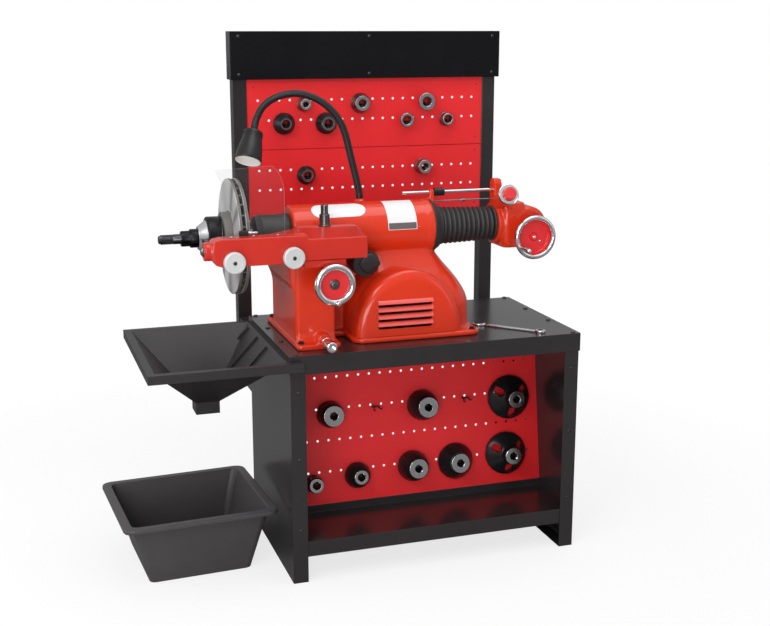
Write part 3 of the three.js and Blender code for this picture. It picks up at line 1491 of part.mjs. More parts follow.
function feedBox() {
  const flange = rod(boxFlangeRadius, boxLeft, boxLeft + boxFlange, spindleAt, toRight,
    sidesMiddle);
  const body = loft(boxLevelShares.map((share) => {
    const inset = share === 0 || share === 1 ? boxCorner / 2 : 0;
    return roundedRing(boxLeft + boxFlange / 2, boxRight, boxFront + inset, boxBack - inset,
      boxCorner - sink, boxBottom + (boxTop - boxBottom) * share, boxCornerSteps);
  }));
  const caseBack = -boxBack + gearCaseEdge;
  const gearCase = turned([
    [caseBack, 0], [caseBack, gearCaseRadius - gearCaseEdge],
    [caseBack + gearCaseEdge, gearCaseRadius], [-boxFront - gearCaseEdge, gearCaseRadius],
    [-boxFront, gearCaseRadius - gearCaseEdge], [-boxFront, 0],
  ], point(gearCaseX, 0, gearCaseHeight), toFront, sidesMiddle);
  const wheelBoss = rod(feedBossRadius, 0, -feedBossFront,
    point(feedWheelX, 0, feedWheelHeight), toFront, sidesMiddle);
  const lug = sidePlate(outline([
    [-upperLugHalf, gearCaseHeight], [upperLugHalf, gearCaseHeight],
    [upperLugHalf, upperLugTop - upperLugDrop], [upperLugHalf - upperLugCut, upperLugTop],
    [-upperLugHalf + upperLugCut, upperLugTop], [-upperLugHalf, upperLugTop - upperLugDrop],
  ]), boxLeft, upperLugRight);
  const knobBoss = rod(knobBossRadius, -knobBossLength, 0, knobAt, knobAxis, sidesMiddle)
    .intersect(box(boxLeft, boxRight, boxFront - knobBossLength, boxBack, boxBottom,
      upperLugTop));
  const shaftRoom = rod(quillNeckRadius / 2, boxLeft - overrun, boxLeft + boxFlange,
    spindleAt, toRight, sidesSmall);
  const stopHole = rod(stopRodRadius + runGap, boxLeft - overrun, boxRight + overrun,
    point(0, 0, stopRodHeight), toRight, sidesSmall);
  const guideHole = rod(guideRodRadius + runGap, boxLeft - overrun, boxRight + overrun,
    point(0, 0, guideRodHeight), toRight, sidesSmall);
  const wheelHole = rod(stubRadius + runGap, -stubLength - runGap * 2, overrun,
    point(feedWheelX, feedBossFront, feedWheelHeight), toFront, sidesSmall);
  const knobHole = rod(stubRadius + runGap, -stubLength - runGap * 2, overrun, knobAt,
    knobAxis, sidesSmall);
  let whole = join(flange, body, gearCase, wheelBoss, lug, knobBoss);
  for (const cut of [shaftRoom, stopHole, guideHole, wheelHole, knobHole]) {
    whole = whole.subtract(cut);
  }
  add('feed_box', whole, colours.red);
}

function feedKnob() {
  add('feed_knob', turned([
    [-stubLength, 0], [-stubLength, stubRadius], [seatGap, stubRadius],
    [seatGap, knobRingRadius - knobEdge], [knobEdge, knobRingRadius],
    [knobRing - knobEdge, knobRingRadius], [knobRing, knobRingRadius - knobRingBevel],
    [knobRing, knobFaceRadius + knobEdge], [knobLength - knobEdge, knobFaceRadius],
    [knobLength, knobFaceRadius - knobEdge], [knobLength, 0],
  ], knobAt, knobAxis, sidesMiddle), colours.chrome);
}

function feedWheel() {
  const at = point(feedWheelX, feedWheelPlane, feedWheelHeight);
  const hubBack = feedWheelPlane - feedBossFront + seatGap;
  const reach = hubBack - stubLength;
  const dish = -feedDishDepth / 2 + feedWebOffset;
  let wheel = turned([
    [reach, 0], [reach, stubRadius], [hubBack, stubRadius], [hubBack, feedHubRadius],
    [dish - feedWeb, feedHubRadius], [dish - feedWeb, feedWheelRadius - feedRimBackDrop],
    ...feedRimShares.map(({ along, drop }) =>
      [along * feedRimHalf, feedWheelRadius - drop * feedRimHalf]),
    [dish, feedWheelRadius - feedRimFrontDrop], [dish, feedCapRadius],
    [-feedCapDepth, feedCapRadius - feedCapEdge], [-feedCapDepth, 0],
  ], at, toFront, sidesMiddle);
  const circle = feedWheelRadius - feedGripInset;
  const gripAt = point(
    feedWheelX + circle * Math.cos(feedGripTurn), feedWheelPlane - feedRimHalf,
    feedWheelHeight + circle * Math.sin(feedGripTurn),
  );
  const pin = stubRadius / 2;
  wheel = wheel.subtract(rod(pin + seatGap, -stubLength, overrun, gripAt, toFront,
    sidesSmall));
  add('feed_handwheel', wheel, colours.chrome);
  add('feed_wheel_grip', turned([
    [-stubLength + seatGap, 0], [-stubLength + seatGap, pin], [seatGap, pin],
    [seatGap, feedGripNeckRadius], [feedGripWaist, feedGripWaistRadius],
    [feedGripLength - feedGripShoulder, feedGripRadius],
    [feedGripLength - feedGripEdge, feedGripRadius - feedGripEdge / 4],
    [feedGripLength, feedGripEdge], [feedGripLength, 0],
  ], gripAt, toFront, sidesSmall), colours.chrome);
}

function rods() {
  add('stop_rod', rod(stopRodRadius, stopRodLeft, stopRodRight, point(0, 0, stopRodHeight),
    toRight, sidesSmall), colours.chrome);
  add('stop_block', ring(stopRodRadius + seatGap, stopBlockRadius, rodLugRight + seatGap,
    rodLugRight + stopBlockLength, point(0, 0, stopRodHeight), toRight, sidesSmall),
  colours.darkSteel);
  add('guide_rod', turned([
    [barrelRight - guideRodSink, 0], [barrelRight - guideRodSink, guideRodRadius],
    [guideCollarLeft, guideRodRadius], [guideCollarLeft, guideCollarRadius],
    [guideCollarLeft + guideCollarLength, guideCollarRadius],
    [guideCollarLeft + guideCollarLength, guideRodRadius], [guideRodRight, guideRodRadius],
    [guideRodRight, 0],
  ], point(0, 0, guideRodHeight), toRight, sidesSmall), colours.steel);
}

feedBox();
feedKnob();
feedWheel();
rods();

// Power switch knob and chrome plunger on the casting
const switchLength = 27;
const switchSkirt = 5;
const switchSkirtRadius = 38;
const switchSkirtEdge = 1;
const switchGripRadius = 35.5;
const switchGripTaper = 2;
const switchFaceRadius = 29;
const plungerLength = 92;
const plungerEdge = 2;
const plungerSocket = 8;

function switchKnob() {
  add('switch_knob', turned([
    [-stubLength, 0], [-stubLength, stubRadius], [seatGap, stubRadius],
    [seatGap, switchSkirtRadius], [switchSkirt, switchSkirtRadius],
    [switchSkirt + switchSkirtEdge, switchGripRadius],
    [switchLength - switchSkirt, switchGripRadius - switchGripTaper],
    [switchLength, switchFaceRadius], [switchLength, 0],
  ], switchAt, toFront, sidesMiddle), colours.black);
}

function plunger() {
  const body = turned([
    [-stubLength, 0], [-stubLength, stubRadius], [seatGap, stubRadius],
    [seatGap, plungerRadius], [plungerLength - plungerEdge, plungerRadius],
    [plungerLength, plungerRadius - plungerEdge], [plungerLength, 0],
  ], plungerAt, toFront, sidesMiddle);
  const socket = rod(plungerSocket, plungerLength - plungerSocket * 2,
    plungerLength + overrun, plungerAt, toFront, sidesHex);
  add('base_plunger', body.subtract(socket), colours.chrome);
}

switchKnob();
plunger();

// Gooseneck lamp
const neckRadius = 12.5;
const neckReach = 250;
const lampFootLength = 16;
const lampHeadShares = { along: -1.42, back: -0.028, up: 0.94 };
const neckRouteShares = [
  { along: -0.1, back: -0.004, up: 0.492 }, { along: -0.244, back: -0.004, up: 0.992 },
  { along: -0.416, back: 0, up: 1.212 }, { along: -0.608, back: 0.004, up: 1.336 },
  { along: -0.856, back: 0.012, up: 1.396 }, { along: -1.108, back: 0.024, up: 1.348 },
  { along: -1.28, back: 0.036, up: 1.232 },
];
const neckSteps = 20;
const neckSides = 4;

// A place by the lamp's foot, in shares of the neck's reach
function byLamp({ along, back, up }) {
  return point(lampAt.x + along * neckReach, lampAt.y + back * neckReach,
    lampAt.z + up * neckReach);
}

const lampHeadTop = byLamp(lampHeadShares);
const lampAim = point(-0.29, -0.4, -0.87).normalize();
const lampHeadLength = 108;
const lampHeadTopRadius = 31;
const lampHeadMouth = 44;
const lampWall = 3;
const lampNeckEnd = 34;
const lampCapShare = 0.65;
const lampCapEdge = 6;
const lampShoulder = 30;
const lampSwell = 1;
const lampFlareShare = 0.75;
const lampFlare = 2;
const lampInsideShoulder = 34;
const lampFloor = 14;
const bulbNeckRadius = 10;
const bulbCollar = 2;
const bulbCollarEnd = 30;
const bulbShoulder = 50;
const bulbShoulderRadius = 20;
const bulbWidest = 66;
const bulbRadius = 22;
const bulbTip = 80;
const bulbTipRadius = 15;
const bulbEnd = 86;

function lampArm() {
  const along = (distance) => lampHeadTop.clone().addScaledVector(lampAim, -distance);
  const route = [
    point(lampAt.x, lampAt.y, lampAt.z + seatGap),
    point(lampAt.x, lampAt.y, lampAt.z + lampFootLength),
    ...neckRouteShares.map(byLamp), along(lampNeckEnd), along(seatGap * 2),
  ];
  const curve = new THREE.CatmullRomCurve3(route);
  const section = new THREE.Shape();
  section.absarc(0, 0, neckRadius, 0, 2 * Math.PI, false);
  const geometry = new THREE.ExtrudeGeometry(section, {
    steps: neckSteps, extrudePath: curve, curveSegments: neckSides, bevelEnabled: false,
  });
  add('lamp_arm', solid(geometry), colours.black);
}

function lampHead() {
  const mouth = lampHeadMouth;
  const top = lampHeadTopRadius;
  add('lamp_head', turned([
    [0, 0], [0, top * lampCapShare], [lampCapEdge, top - lampSwell],
    [lampShoulder, top + lampSwell], [lampHeadLength * lampFlareShare, mouth - lampFlare],
    [lampHeadLength, mouth], [lampHeadLength, mouth - lampWall],
    [lampHeadLength * lampFlareShare, mouth - lampWall - lampFlare],
    [lampInsideShoulder, top - lampWall], [lampFloor, top - lampWall * 2], [lampFloor, 0],
  ], lampHeadTop, lampAim, sidesMiddle), colours.black);
  add('lamp_bulb', turned([
    [lampFloor + seatGap, 0], [lampFloor + seatGap, bulbNeckRadius],
    [bulbCollarEnd, bulbNeckRadius + bulbCollar], [bulbShoulder, bulbShoulderRadius],
    [bulbWidest, bulbRadius], [bulbTip, bulbTipRadius], [bulbEnd, 0],
  ], lampHeadTop, lampAim, sidesSmall), colours.glow);
}

lampArm();
lampHead();

// Chip funnel hung on the bench's left side
const funnelReach = 438;
const funnelLeft = -halfWidth - funnelReach;
const funnelMouthInset = 8;
const ribLengthShare = 0.55;
const ribMiddleShare = 0.68;
const funnelRight = -halfWidth - seatGap;
const funnelFront = -322;
const funnelBack = 296;
const funnelDrop = 17;
const funnelTop = benchHeight - funnelDrop;
const funnelLip = 28;
const funnelRim = 24;
const funnelWall = 4;
const spoutX = -712;
const spoutHalf = 39;
const funnelDepth = 183;
const spoutLength = 40;
const spoutTop = funnelTop - funnelDepth;
const spoutBottom = spoutTop - spoutLength;
const hookLength = 42;
const hookRight = -halfWidth + hookLength;
const hookBack = -halfDepth - seatGap;
const ribPitch = 140;
const ribsBack = 80;
const ribPlaces = [ribsBack + ribPitch, ribsBack, ribsBack - ribPitch];
const ribWidth = 12;
const ribRise = 8;

function rectangle(x0, x1, y0, y1, z) {
  return [point(x1, y1, z), point(x0, y1, z), point(x0, y0, z), point(x1, y0, z)];
}

function funnel() {
  const mouthRight = funnelRight - funnelMouthInset;
  const block = box(funnelLeft, funnelRight, funnelFront, funnelBack,
    funnelTop - funnelLip, funnelTop);
  const hollow = box(funnelLeft + funnelWall, funnelRight - funnelWall,
    funnelFront + funnelWall, funnelBack - funnelWall,
    funnelTop - funnelLip - overrun, funnelTop - funnelWall);
  const lip = block.subtract(hollow);
  const hook = box(funnelRight - funnelRim, hookRight, funnelFront, hookBack,
    funnelTop - funnelLip, funnelTop);
  const skin = (grow, top, bottom) => loft([
    rectangle(funnelLeft + funnelRim - grow, mouthRight + grow, funnelFront + funnelRim - grow,
      funnelBack - funnelRim + grow, top),
    rectangle(spoutX - spoutHalf + funnelWall - grow, spoutX + spoutHalf - funnelWall + grow,
      -spoutHalf + funnelWall - grow, spoutHalf - funnelWall + grow, bottom),
  ]);
  const outside = skin(funnelWall, funnelTop - sink, spoutTop);
  const spout = box(spoutX - spoutHalf, spoutX + spoutHalf, -spoutHalf, spoutHalf,
    spoutBottom, spoutTop + sink);
  const inside = skin(0, funnelTop, spoutTop);
  const mouth = box(funnelLeft + funnelRim, mouthRight, funnelFront + funnelRim,
    funnelBack - funnelRim, funnelTop - seatGap, funnelTop + overrun);
  const spoutBore = box(spoutX - spoutHalf + funnelWall, spoutX + spoutHalf - funnelWall,
    -spoutHalf + funnelWall, spoutHalf - funnelWall, spoutBottom - overrun,
    spoutTop + 2 * sink);
  let whole = join(lip, hook, outside, spout);
  for (const cut of [inside, mouth, spoutBore]) whole = whole.subtract(cut);
  const wallTop = point(mouthRight, 0, funnelTop);
  const wallFoot = point(spoutX + spoutHalf - funnelWall, 0, spoutTop);
  const run = wallTop.distanceTo(wallFoot);
  const slope = Math.atan2(wallTop.z - wallFoot.z, wallTop.x - wallFoot.x);
  for (const y of ribPlaces) {
    const rib = new THREE.BoxGeometry(run * ribLengthShare, ribWidth, ribRise + funnelWall / 2);
    rib.translate(0, 0, ribRise / 2 - funnelWall / 4);
    rib.rotateY(-slope);
    const middle = wallFoot.clone().lerp(wallTop, ribMiddleShare);
    rib.translate(middle.x, y, middle.z);
    whole = whole.add(solid(rib));
  }
  add('chip_funnel', whole, colours.plastic);
}

funnel();

// Chip bin on the floor, turned a little
const binX = -777;
const binY = 42;
const binAt = point(binX, binY, 0);
const binRimEdge = 3;
const binFootCornerShare = 0.6;
const binTopCornerShare = 0.8;
const binInnerFootShare = 0.5;
const binInnerTopShare = 0.7;
const binTurn = 0.058;
const binHeight = 212;
const binHalfLong = 253;
const binHalfDeep = 235;
const binRim = 24;
const binRimHeight = 16;
const binCorner = 30;
const binCornerSteps = 3;
const binBottomLong = 169;
const binBottomDeep = 176;
const binWall = 4;

function chipBin() {
  const ringAt = (long, deep, corner, z) => roundedRing(-long, long, -deep, deep, corner, z,
    binCornerSteps);
  const topLong = binHalfLong - binRim;
  const topDeep = binHalfDeep - binRim;
  const rimLong = binHalfLong - binRimEdge;
  const rimDeep = binHalfDeep - binRimEdge;
  const outside = loft([
    ringAt(binBottomLong, binBottomDeep, binCorner * binFootCornerShare, 0),
    ringAt(topLong, topDeep, binCorner * binTopCornerShare, binHeight),
  ]);
  const rim = loft([
    ringAt(rimLong, rimDeep, binCorner, binHeight - binRimHeight),
    ringAt(binHalfLong, binHalfDeep, binCorner, binHeight - binRimHeight + binRimEdge),
    ringAt(binHalfLong, binHalfDeep, binCorner, binHeight - binRimEdge),
    ringAt(rimLong, rimDeep, binCorner, binHeight),
  ]);
  const grow = (topLong - binBottomLong) / binHeight;
  const growDeep = (topDeep - binBottomDeep) / binHeight;
  const inside = loft([
    ringAt(binBottomLong + grow * binWall - binWall, binBottomDeep + growDeep * binWall
      - binWall, binCorner * binInnerFootShare, binWall),
    ringAt(topLong + grow * overrun - binWall, topDeep + growDeep * overrun - binWall,
      binCorner * binInnerTopShare, binHeight + overrun),
  ]);
  const group = new THREE.Group();
  group.position.copy(binAt);
  group.rotation.z = binTurn;
  bench.add(group);
  add('chip_bin', outside.add(rim).subtract(inside), colours.plastic, group);
}

chipBin();

// Spanner left on the bench top
const spannerX = 294;
const spannerY = -170;
const spannerAt = point(spannerX, spannerY, benchHeight + seatGap);
const spannerRingRise = 2;
const sidesRingHole = 12;
const spannerTurn = -0.826;
const spannerLength = 264;
const spannerWidth = 16;
const spannerThickness = 8;
const spannerRing = 17;
const spannerRingHole = 10;
const spannerJaw = 21;
const spannerJawGap = 18;

function spanner() {
  const half = spannerLength / 2;
  const top = spannerThickness;
  const shank = box(-half + spannerRing, half - spannerRing, -spannerWidth / 2,
    spannerWidth / 2, 0, top);
  const ringHead = rod(spannerRing, 0, top + spannerRingRise, point(half - spannerRing, 0, 0), upward,
    sidesMiddle);
  const jawHead = rod(spannerJaw, 0, top, point(-half + spannerJaw, 0, 0), upward,
    sidesMiddle);
  const hole = rod(spannerRingHole, -overrun, top + overrun, point(half - spannerRing, 0, 0),
    upward, sidesRingHole);
  const jaw = box(-half - overrun, -half + spannerJaw, -spannerJawGap / 2, spannerJawGap / 2,
    -overrun, top + overrun);
  const mesh = add('spanner', join(shank, ringHead, jawHead).subtract(hole).subtract(jaw),
    colours.chrome);
  mesh.position.copy(spannerAt);
  mesh.rotation.z = spannerTurn;
}

spanner();

// Origin at the bottom centre of the whole object
const lathe = new THREE.Group();
lathe.add(bench);
lathe.updateMatrixWorld(true);
const bounds = new THREE.Box3().setFromObject(lathe, true);
bench.position.set(-(bounds.min.x + bounds.max.x) / 2, -(bounds.min.y + bounds.max.y) / 2, 0);

export default lathe;
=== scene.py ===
# Brake lathe on a sheet-steel bench with peg boards, blank header, lamp, chip funnel and bin.
# Sizes are in millimetres from the middle of the bench at floor level, as on the part's drawing,
# and each finished piece is brought to metres in the model's frame.
import math

import bmesh
import bpy
from mathutils import Matrix, Vector


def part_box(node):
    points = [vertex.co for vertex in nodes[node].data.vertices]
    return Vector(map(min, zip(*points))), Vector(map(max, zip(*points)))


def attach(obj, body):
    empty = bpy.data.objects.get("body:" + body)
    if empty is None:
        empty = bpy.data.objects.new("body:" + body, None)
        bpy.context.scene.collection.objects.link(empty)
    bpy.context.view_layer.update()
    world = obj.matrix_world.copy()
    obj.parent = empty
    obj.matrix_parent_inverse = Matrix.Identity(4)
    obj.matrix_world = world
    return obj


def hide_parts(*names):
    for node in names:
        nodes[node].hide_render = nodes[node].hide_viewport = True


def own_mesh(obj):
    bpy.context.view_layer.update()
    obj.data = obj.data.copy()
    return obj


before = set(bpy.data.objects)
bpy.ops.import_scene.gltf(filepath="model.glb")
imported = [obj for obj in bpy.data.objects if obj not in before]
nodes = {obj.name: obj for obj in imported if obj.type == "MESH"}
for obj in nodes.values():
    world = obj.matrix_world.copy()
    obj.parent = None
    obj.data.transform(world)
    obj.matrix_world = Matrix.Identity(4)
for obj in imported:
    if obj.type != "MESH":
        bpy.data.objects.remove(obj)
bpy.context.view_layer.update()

# Camera and studio
# The photograph looks down a little from the front left at a long focal length, against white.
# The floor is a wide white sheet that keeps the bench's shadow.
top_low, top_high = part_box("table_top")
BENCH_MIDDLE = Vector(((top_low.x + top_high.x) / 2, (top_low.y + top_high.y) / 2, 0))
TO_MODEL = Matrix.Translation(BENCH_MIDDLE) @ Matrix.Scale(0.001, 4)
CAMERA_PLACE = Vector((-1372.0, -3885.9, 1754.5))
LOOK_DOWN = 13.059
LOOK_RIGHT = 18.258
FOCAL_LENGTH = 57.67
FLOOR_GAP = 0.0005
scene = bpy.context.scene
scene.view_settings.view_transform = "Standard"


def placed(name, data):
    """A new object in the scene."""
    made = bpy.data.objects.new(name, data)
    scene.collection.objects.link(made)
    return made


camera = placed("camera", bpy.data.cameras.new("camera"))
camera.data.lens = FOCAL_LENGTH
camera.data.sensor_width = 36
camera.data.clip_end = 100
camera.location = TO_MODEL @ CAMERA_PLACE
camera.rotation_euler = (math.radians(90 - LOOK_DOWN), 0, math.radians(-LOOK_RIGHT))
scene.camera = camera


class Wire:
    """A shader socket that can stand in a Python sum, which adds its Math nodes."""

    def __init__(self, finish, socket):
        self.finish = finish
        self.socket = socket

    def math(self, how, *values):
        return self.finish.node("ShaderNodeMath", {"operation": how}, dict(enumerate(values)))

    def __add__(self, other):
        return self.math("ADD", self, other)

    def __sub__(self, other):
        return self.math("SUBTRACT", self, other)

    def __rsub__(self, other):
        return self.math("SUBTRACT", other, self)

    def __mul__(self, other):
        return self.math("MULTIPLY", self, other)

    def __truediv__(self, other):
        return self.math("DIVIDE", self, other)

    def __rtruediv__(self, other):
        return self.math("DIVIDE", other, self)

    def __pow__(self, other):
        return self.math("POWER", self, other)

    __radd__ = __add__
    __rmul__ = __mul__

    def wave(self):
        return self.math("SINE", self)

    def clamp(self, low, high):
        return self.math("MINIMUM", self.math("MAXIMUM", self, low), high)


class Finish:
    """The nodes of one material, or of the studio's world."""

    def __init__(self, name, owner=None):
        self.material = owner or bpy.data.materials.new(name)
        self.material.use_nodes = True
        self.tree = self.material.node_tree
        self.shader = self.tree.nodes.get("Principled BSDF")

    def feed(self, socket, value):
        """Links a wire to a socket, or sets the socket's own value."""
        if isinstance(value, Wire):
            self.tree.links.new(value.socket, socket)
        elif socket.type == "RGBA":
            socket.default_value = (*value, 1)
        else:
            socket.default_value = value

    def node(self, kind, settings=None, values=None, output=0):
        made = self.tree.nodes.new(kind)
        for key, value in (settings or {}).items():
            if key == "stops":
                for element, (place, colour) in zip(made.color_ramp.elements, value):
                    element.position = place
                    element.color = (*colour, 1)
            else:
                setattr(made, key, value)
        for key, value in (values or {}).items():
            self.feed(made.inputs[key], value)
        return Wire(self, made.outputs[output])

    def place(self, centre=(0, 0, 0), scale=(1, 1, 1)):
        """Object coordinates, centred on the piece."""
        raw = self.node("ShaderNodeTexCoord", output="Object")
        moved = self.node("ShaderNodeVectorMath", {"operation": "SUBTRACT"},
                          {0: raw, 1: tuple(centre)})
        return self.node("ShaderNodeMapping", None, {"Vector": moved, "Scale": scale})

    def parts(self, vector):
        """The three coordinates of a vector."""
        split = self.tree.nodes.new("ShaderNodeSeparateXYZ")
        self.feed(split.inputs[0], vector)
        return [Wire(self, out) for out in split.outputs]

    def noise(self, vector, scale, detail=3, roughness=0.55):
        return self.node("ShaderNodeTexNoise", None, {
            "Vector": vector, "Scale": scale, "Detail": detail, "Roughness": roughness})

    def mix(self, share, first, second):
        return self.node("ShaderNodeMix", {"data_type": "RGBA"},
                         {0: share, 6: first, 7: second}, 2)

    def bump(self, height, strength, distance):
        return self.node("ShaderNodeBump", None, {
            "Height": height, "Strength": strength, "Distance": distance})

    def set(self, **sockets):
        for key, value in sockets.items():
            self.feed(self.shader.inputs[key.replace("_", " ")], value)
        return self.material


def backdrop_material():
    """A white sheet that shows white wherever the object's shadow doesn't fall. It glows less
    near the object, so that the shadow shows, and looks darker in gloss paint and metal."""
    finish = Finish("studio_floor")
    grain = finish.noise(finish.place(), 2.0)
    x, y, _ = finish.parts(finish.place())
    far = (((x * x + y * y) ** 0.5 - 1.3) * 0.25).clamp(0, 0.28)
    seen, glossy, through = [finish.node("ShaderNodeLightPath", output=ray) for ray in (
        "Is Camera Ray", "Is Glossy Ray", "Is Transmission Ray")]
    tone = finish.mix(grain, (0.86, 0.86, 0.86), (0.88, 0.88, 0.88))
    tone = finish.mix(glossy * 0.82, tone, (0.06, 0.06, 0.06))
    finish.set(Base_Color=tone, Roughness=0.9, Specular_IOR_Level=0.0)
    glow = finish.node("ShaderNodeEmission", None, {"Color": (1.0, 1.0, 1.0), "Strength": 1.0})
    share = (seen + glossy * 0.05 + through).clamp(0, 1) * (far + 0.76)
    both = finish.node("ShaderNodeMixShader", None, {
        0: share, 1: Wire(finish, finish.shader.outputs[0]), 2: glow})
    finish.feed(finish.tree.nodes["Material Output"].inputs[0], both)
    return finish.material


floor = placed("floor", bpy.data.meshes.new("floor"))
floor_sheet = bmesh.new()
bmesh.ops.create_grid(floor_sheet, x_segments=1, y_segments=1, size=60)
floor_sheet.to_mesh(floor.data)
floor_sheet.free()
floor.location.z = -FLOOR_GAP
floor.data.materials.append(backdrop_material())

sky = Finish("studio", bpy.data.worlds.new("studio"))
upward = sky.parts(sky.node("ShaderNodeTexCoord", output="Generated"))[2]
daylight = sky.node("ShaderNodeValToRGB", {
    "stops": ((0.0, (0.36, 0.36, 0.37)), (0.65, (0.68, 0.68, 0.69)))}, {0: upward})
seen = sky.node("ShaderNodeLightPath", output="Is Camera Ray")
sky.feed(sky.tree.nodes["Background"].inputs[0], sky.mix(seen, daylight, (1.0, 1.0, 1.0)))
scene.world = sky.material


def softbox(name, place, target, width, height, power):
    lamp = placed(name, bpy.data.lights.new(name, "AREA"))
    lamp.data.shape = "RECTANGLE"
    lamp.data.size = width
    lamp.data.size_y = height
    lamp.data.energy = power
    lamp.location = place
    lamp.rotation_euler = (Vector(target) - Vector(place)).to_track_quat("-Z", "Y").to_euler()


softbox("key_light", (-2.6, -2.6, 3.4), (0.0, 0.0, 0.9), 2.4, 1.6, 70)
softbox("side_light", (-3.6, 0.6, 1.6), (0.0, 0.0, 0.6), 1.6, 2.4, 24)
softbox("top_light", (0.6, -0.6, 4.2), (0.2, 0.0, 1.0), 3.0, 2.0, 46)
softbox("front_light", (-2.0, -4.4, 1.1), (0.1, 0.0, 0.45), 2.0, 1.4, 62)
softbox("right_light", (3.4, -3.0, 1.6), (0.2, 0.0, 0.8), 1.2, 2.4, 9)

# Bench
# Welded and folded sheet steel in gloss black: a top with turned-down edges, two channel-shaped
# side panels and a shelf tray. The model's solids have the right shape, so they get softened
# folds and a powder-coated finish.


def shade(colour, share, lift=0.0):
    """A colour made darker or paler."""
    return tuple(min(1.0, c * share + lift) for c in colour)


def uneven(name, first, second, gloss, broad, fine, bump, drift=0.08, bloom=0.0, **sockets):
    """A finish whose tone and gloss drift with a broad noise, with a fine one raised on it."""
    finish = Finish(name)
    place = finish.place()
    broad = finish.noise(place, *broad)
    fine = finish.noise(place, *fine)
    dull = broad * drift + gloss
    if bloom:
        dull = dull + fine * bloom
    return finish.set(Base_Color=finish.mix(broad, first, second), Roughness=dull,
                      Normal=finish.bump(fine, *bump), **sockets)


def enamel(name, colour, gloss, orange_peel, mottle, coat=0.35, shine=0.5):
    """Sprayed paint: faint orange peel, small changes of tone and gloss."""
    return uneven(name, shade(colour, 1 - mottle), shade(colour, 1 + mottle, 0.002), gloss,
                  (5.0, 3), (420.0, 2), (orange_peel, 0.0004),
                  Coat_Weight=coat, Coat_Roughness=0.08, Specular_IOR_Level=shine)


def dress(node, material, fold=0.0, segments=2, angle=35):
    """Gives a model solid its material and, with a fold, edges as round as bent sheet's."""
    piece = nodes[node]
    piece.data.materials.clear()
    piece.data.materials.append(material)
    if fold:
        piece.modifiers.new("weld", "WELD").merge_threshold = 0.00002
        edge = piece.modifiers.new("edge", "BEVEL")
        edge.width = fold
        edge.segments = segments
        edge.limit_method = "ANGLE"
        edge.angle_limit = math.radians(angle)
        piece.modifiers.new("shade", "WEIGHTED_NORMAL").keep_sharp = True


BENCH_BLACK = enamel("bench_black", (0.019, 0.016, 0.017), 0.20, 0.12, 0.25, coat=0.1)
for name in ("table_top", "side_panel_left", "side_panel_right", "shelf_tray"):
    dress(name, BENCH_BLACK, 0.0012)

# Peg boards
# Red-painted sheet with rows of round holes, the upper two folded back at their edges like
# shallow trays and screwed between the posts, the lower one leaning back on the shelf.
BOARD_RED = enamel("board_red", (0.72, 0.016, 0.020), 0.36, 0.10, 0.08, coat=0.06, shine=0.3)
HOLE_PITCH = 39.0
HOLE_RADIUS = 4.3
BOARD_SHEET = 2.0
UPPER_BOARDS = {"upper_peg_board": 1323.3, "middle_peg_board": 1073.3}
UPPER_BOARD_FRONT = 478
ON_LOWER = Matrix.Translation((0, -26, 152.3)) @ Matrix.Rotation(-0.148, 4, "X")


def only_verts(geometry):
    return [g for g in geometry if isinstance(g, bmesh.types.BMVert)]


def edges_of(verts):
    """Each edge at the vertices once, in the same order each run."""
    return list(dict.fromkeys(edge for vert in verts for edge in vert.link_edges))


def faces_of(verts):
    return list(dict.fromkeys(face for vert in verts for face in vert.link_faces))


def board_sheet(width, height, rows, fold=0.0):
    """A perforated sheet standing in X and Z with its lower edge at zero."""
    shape = bmesh.new()
    columns = int((width - HOLE_PITCH) / HOLE_PITCH)
    half = HOLE_PITCH / 2
    first = Matrix.Translation((-(columns - 1) * half, 0, 0)) @ Matrix.Rotation(
        math.pi / 2, 4, "X")
    for row in rows:
        hole = bmesh.ops.create_circle(shape, segments=16, radius=HOLE_RADIUS)["verts"]
        square = bmesh.ops.create_circle(shape, segments=16, radius=half)["verts"]
        for vert in square:
            vert.co *= half / max(abs(vert.co.x), abs(vert.co.y))
        cell = hole + square
        bmesh.ops.bridge_loops(shape, edges=edges_of(cell))
        bmesh.ops.transform(shape, matrix=Matrix.Translation((0, 0, row)) @ first, verts=cell)
        source = cell + faces_of(cell) + edges_of(cell)
        for i in range(1, columns):
            copy = bmesh.ops.duplicate(shape, geom=source)["geom"]
            bmesh.ops.translate(shape, vec=(i * HOLE_PITCH, 0, 0), verts=only_verts(copy))
    bmesh.ops.remove_doubles(shape, verts=shape.verts, dist=0.01)

    def border(test):
        return [e for e in shape.edges if e.is_boundary
                and all(test(v.co) for v in e.verts)
                and (e.verts[0].co - e.verts[1].co).length > HOLE_RADIUS * 1.2]

    def pull(edges, axis, place):
        for vert in only_verts(bmesh.ops.extrude_edge_only(shape, edges=edges)["geom"]):
            vert.co[axis] = place

    for sign in (-1, 1):
        side = sign * columns * half
        pull(border(lambda co: abs(co.x - side) < 0.05), 0, sign * width / 2)
    levels = sorted(rows)
    for under, row in zip([-half, *levels], levels):
        pull(border(lambda co: abs(co.z - (row - half)) < 0.05), 2, under + half)
    pull(border(lambda co: abs(co.z - (levels[-1] + half)) < 0.05), 2, height)
    bmesh.ops.remove_doubles(shape, verts=shape.verts, dist=0.01)
    if fold:
        rim = [e for e in shape.edges if e.is_boundary and (
            all(abs(abs(v.co.x) - width / 2) < 0.05 for v in e.verts)
            or all(v.co.z < 0.05 for v in e.verts)
            or all(v.co.z > height - 0.05 for v in e.verts))]
        pull(rim, 1, fold)
    bmesh.ops.recalc_face_normals(shape, faces=shape.faces)
    backwards = shape.faces[:][0].normal.y > 0
    bmesh.ops.solidify(shape, geom=shape.faces[:],
                       thickness=BOARD_SHEET if backwards else -BOARD_SHEET)
    return shape


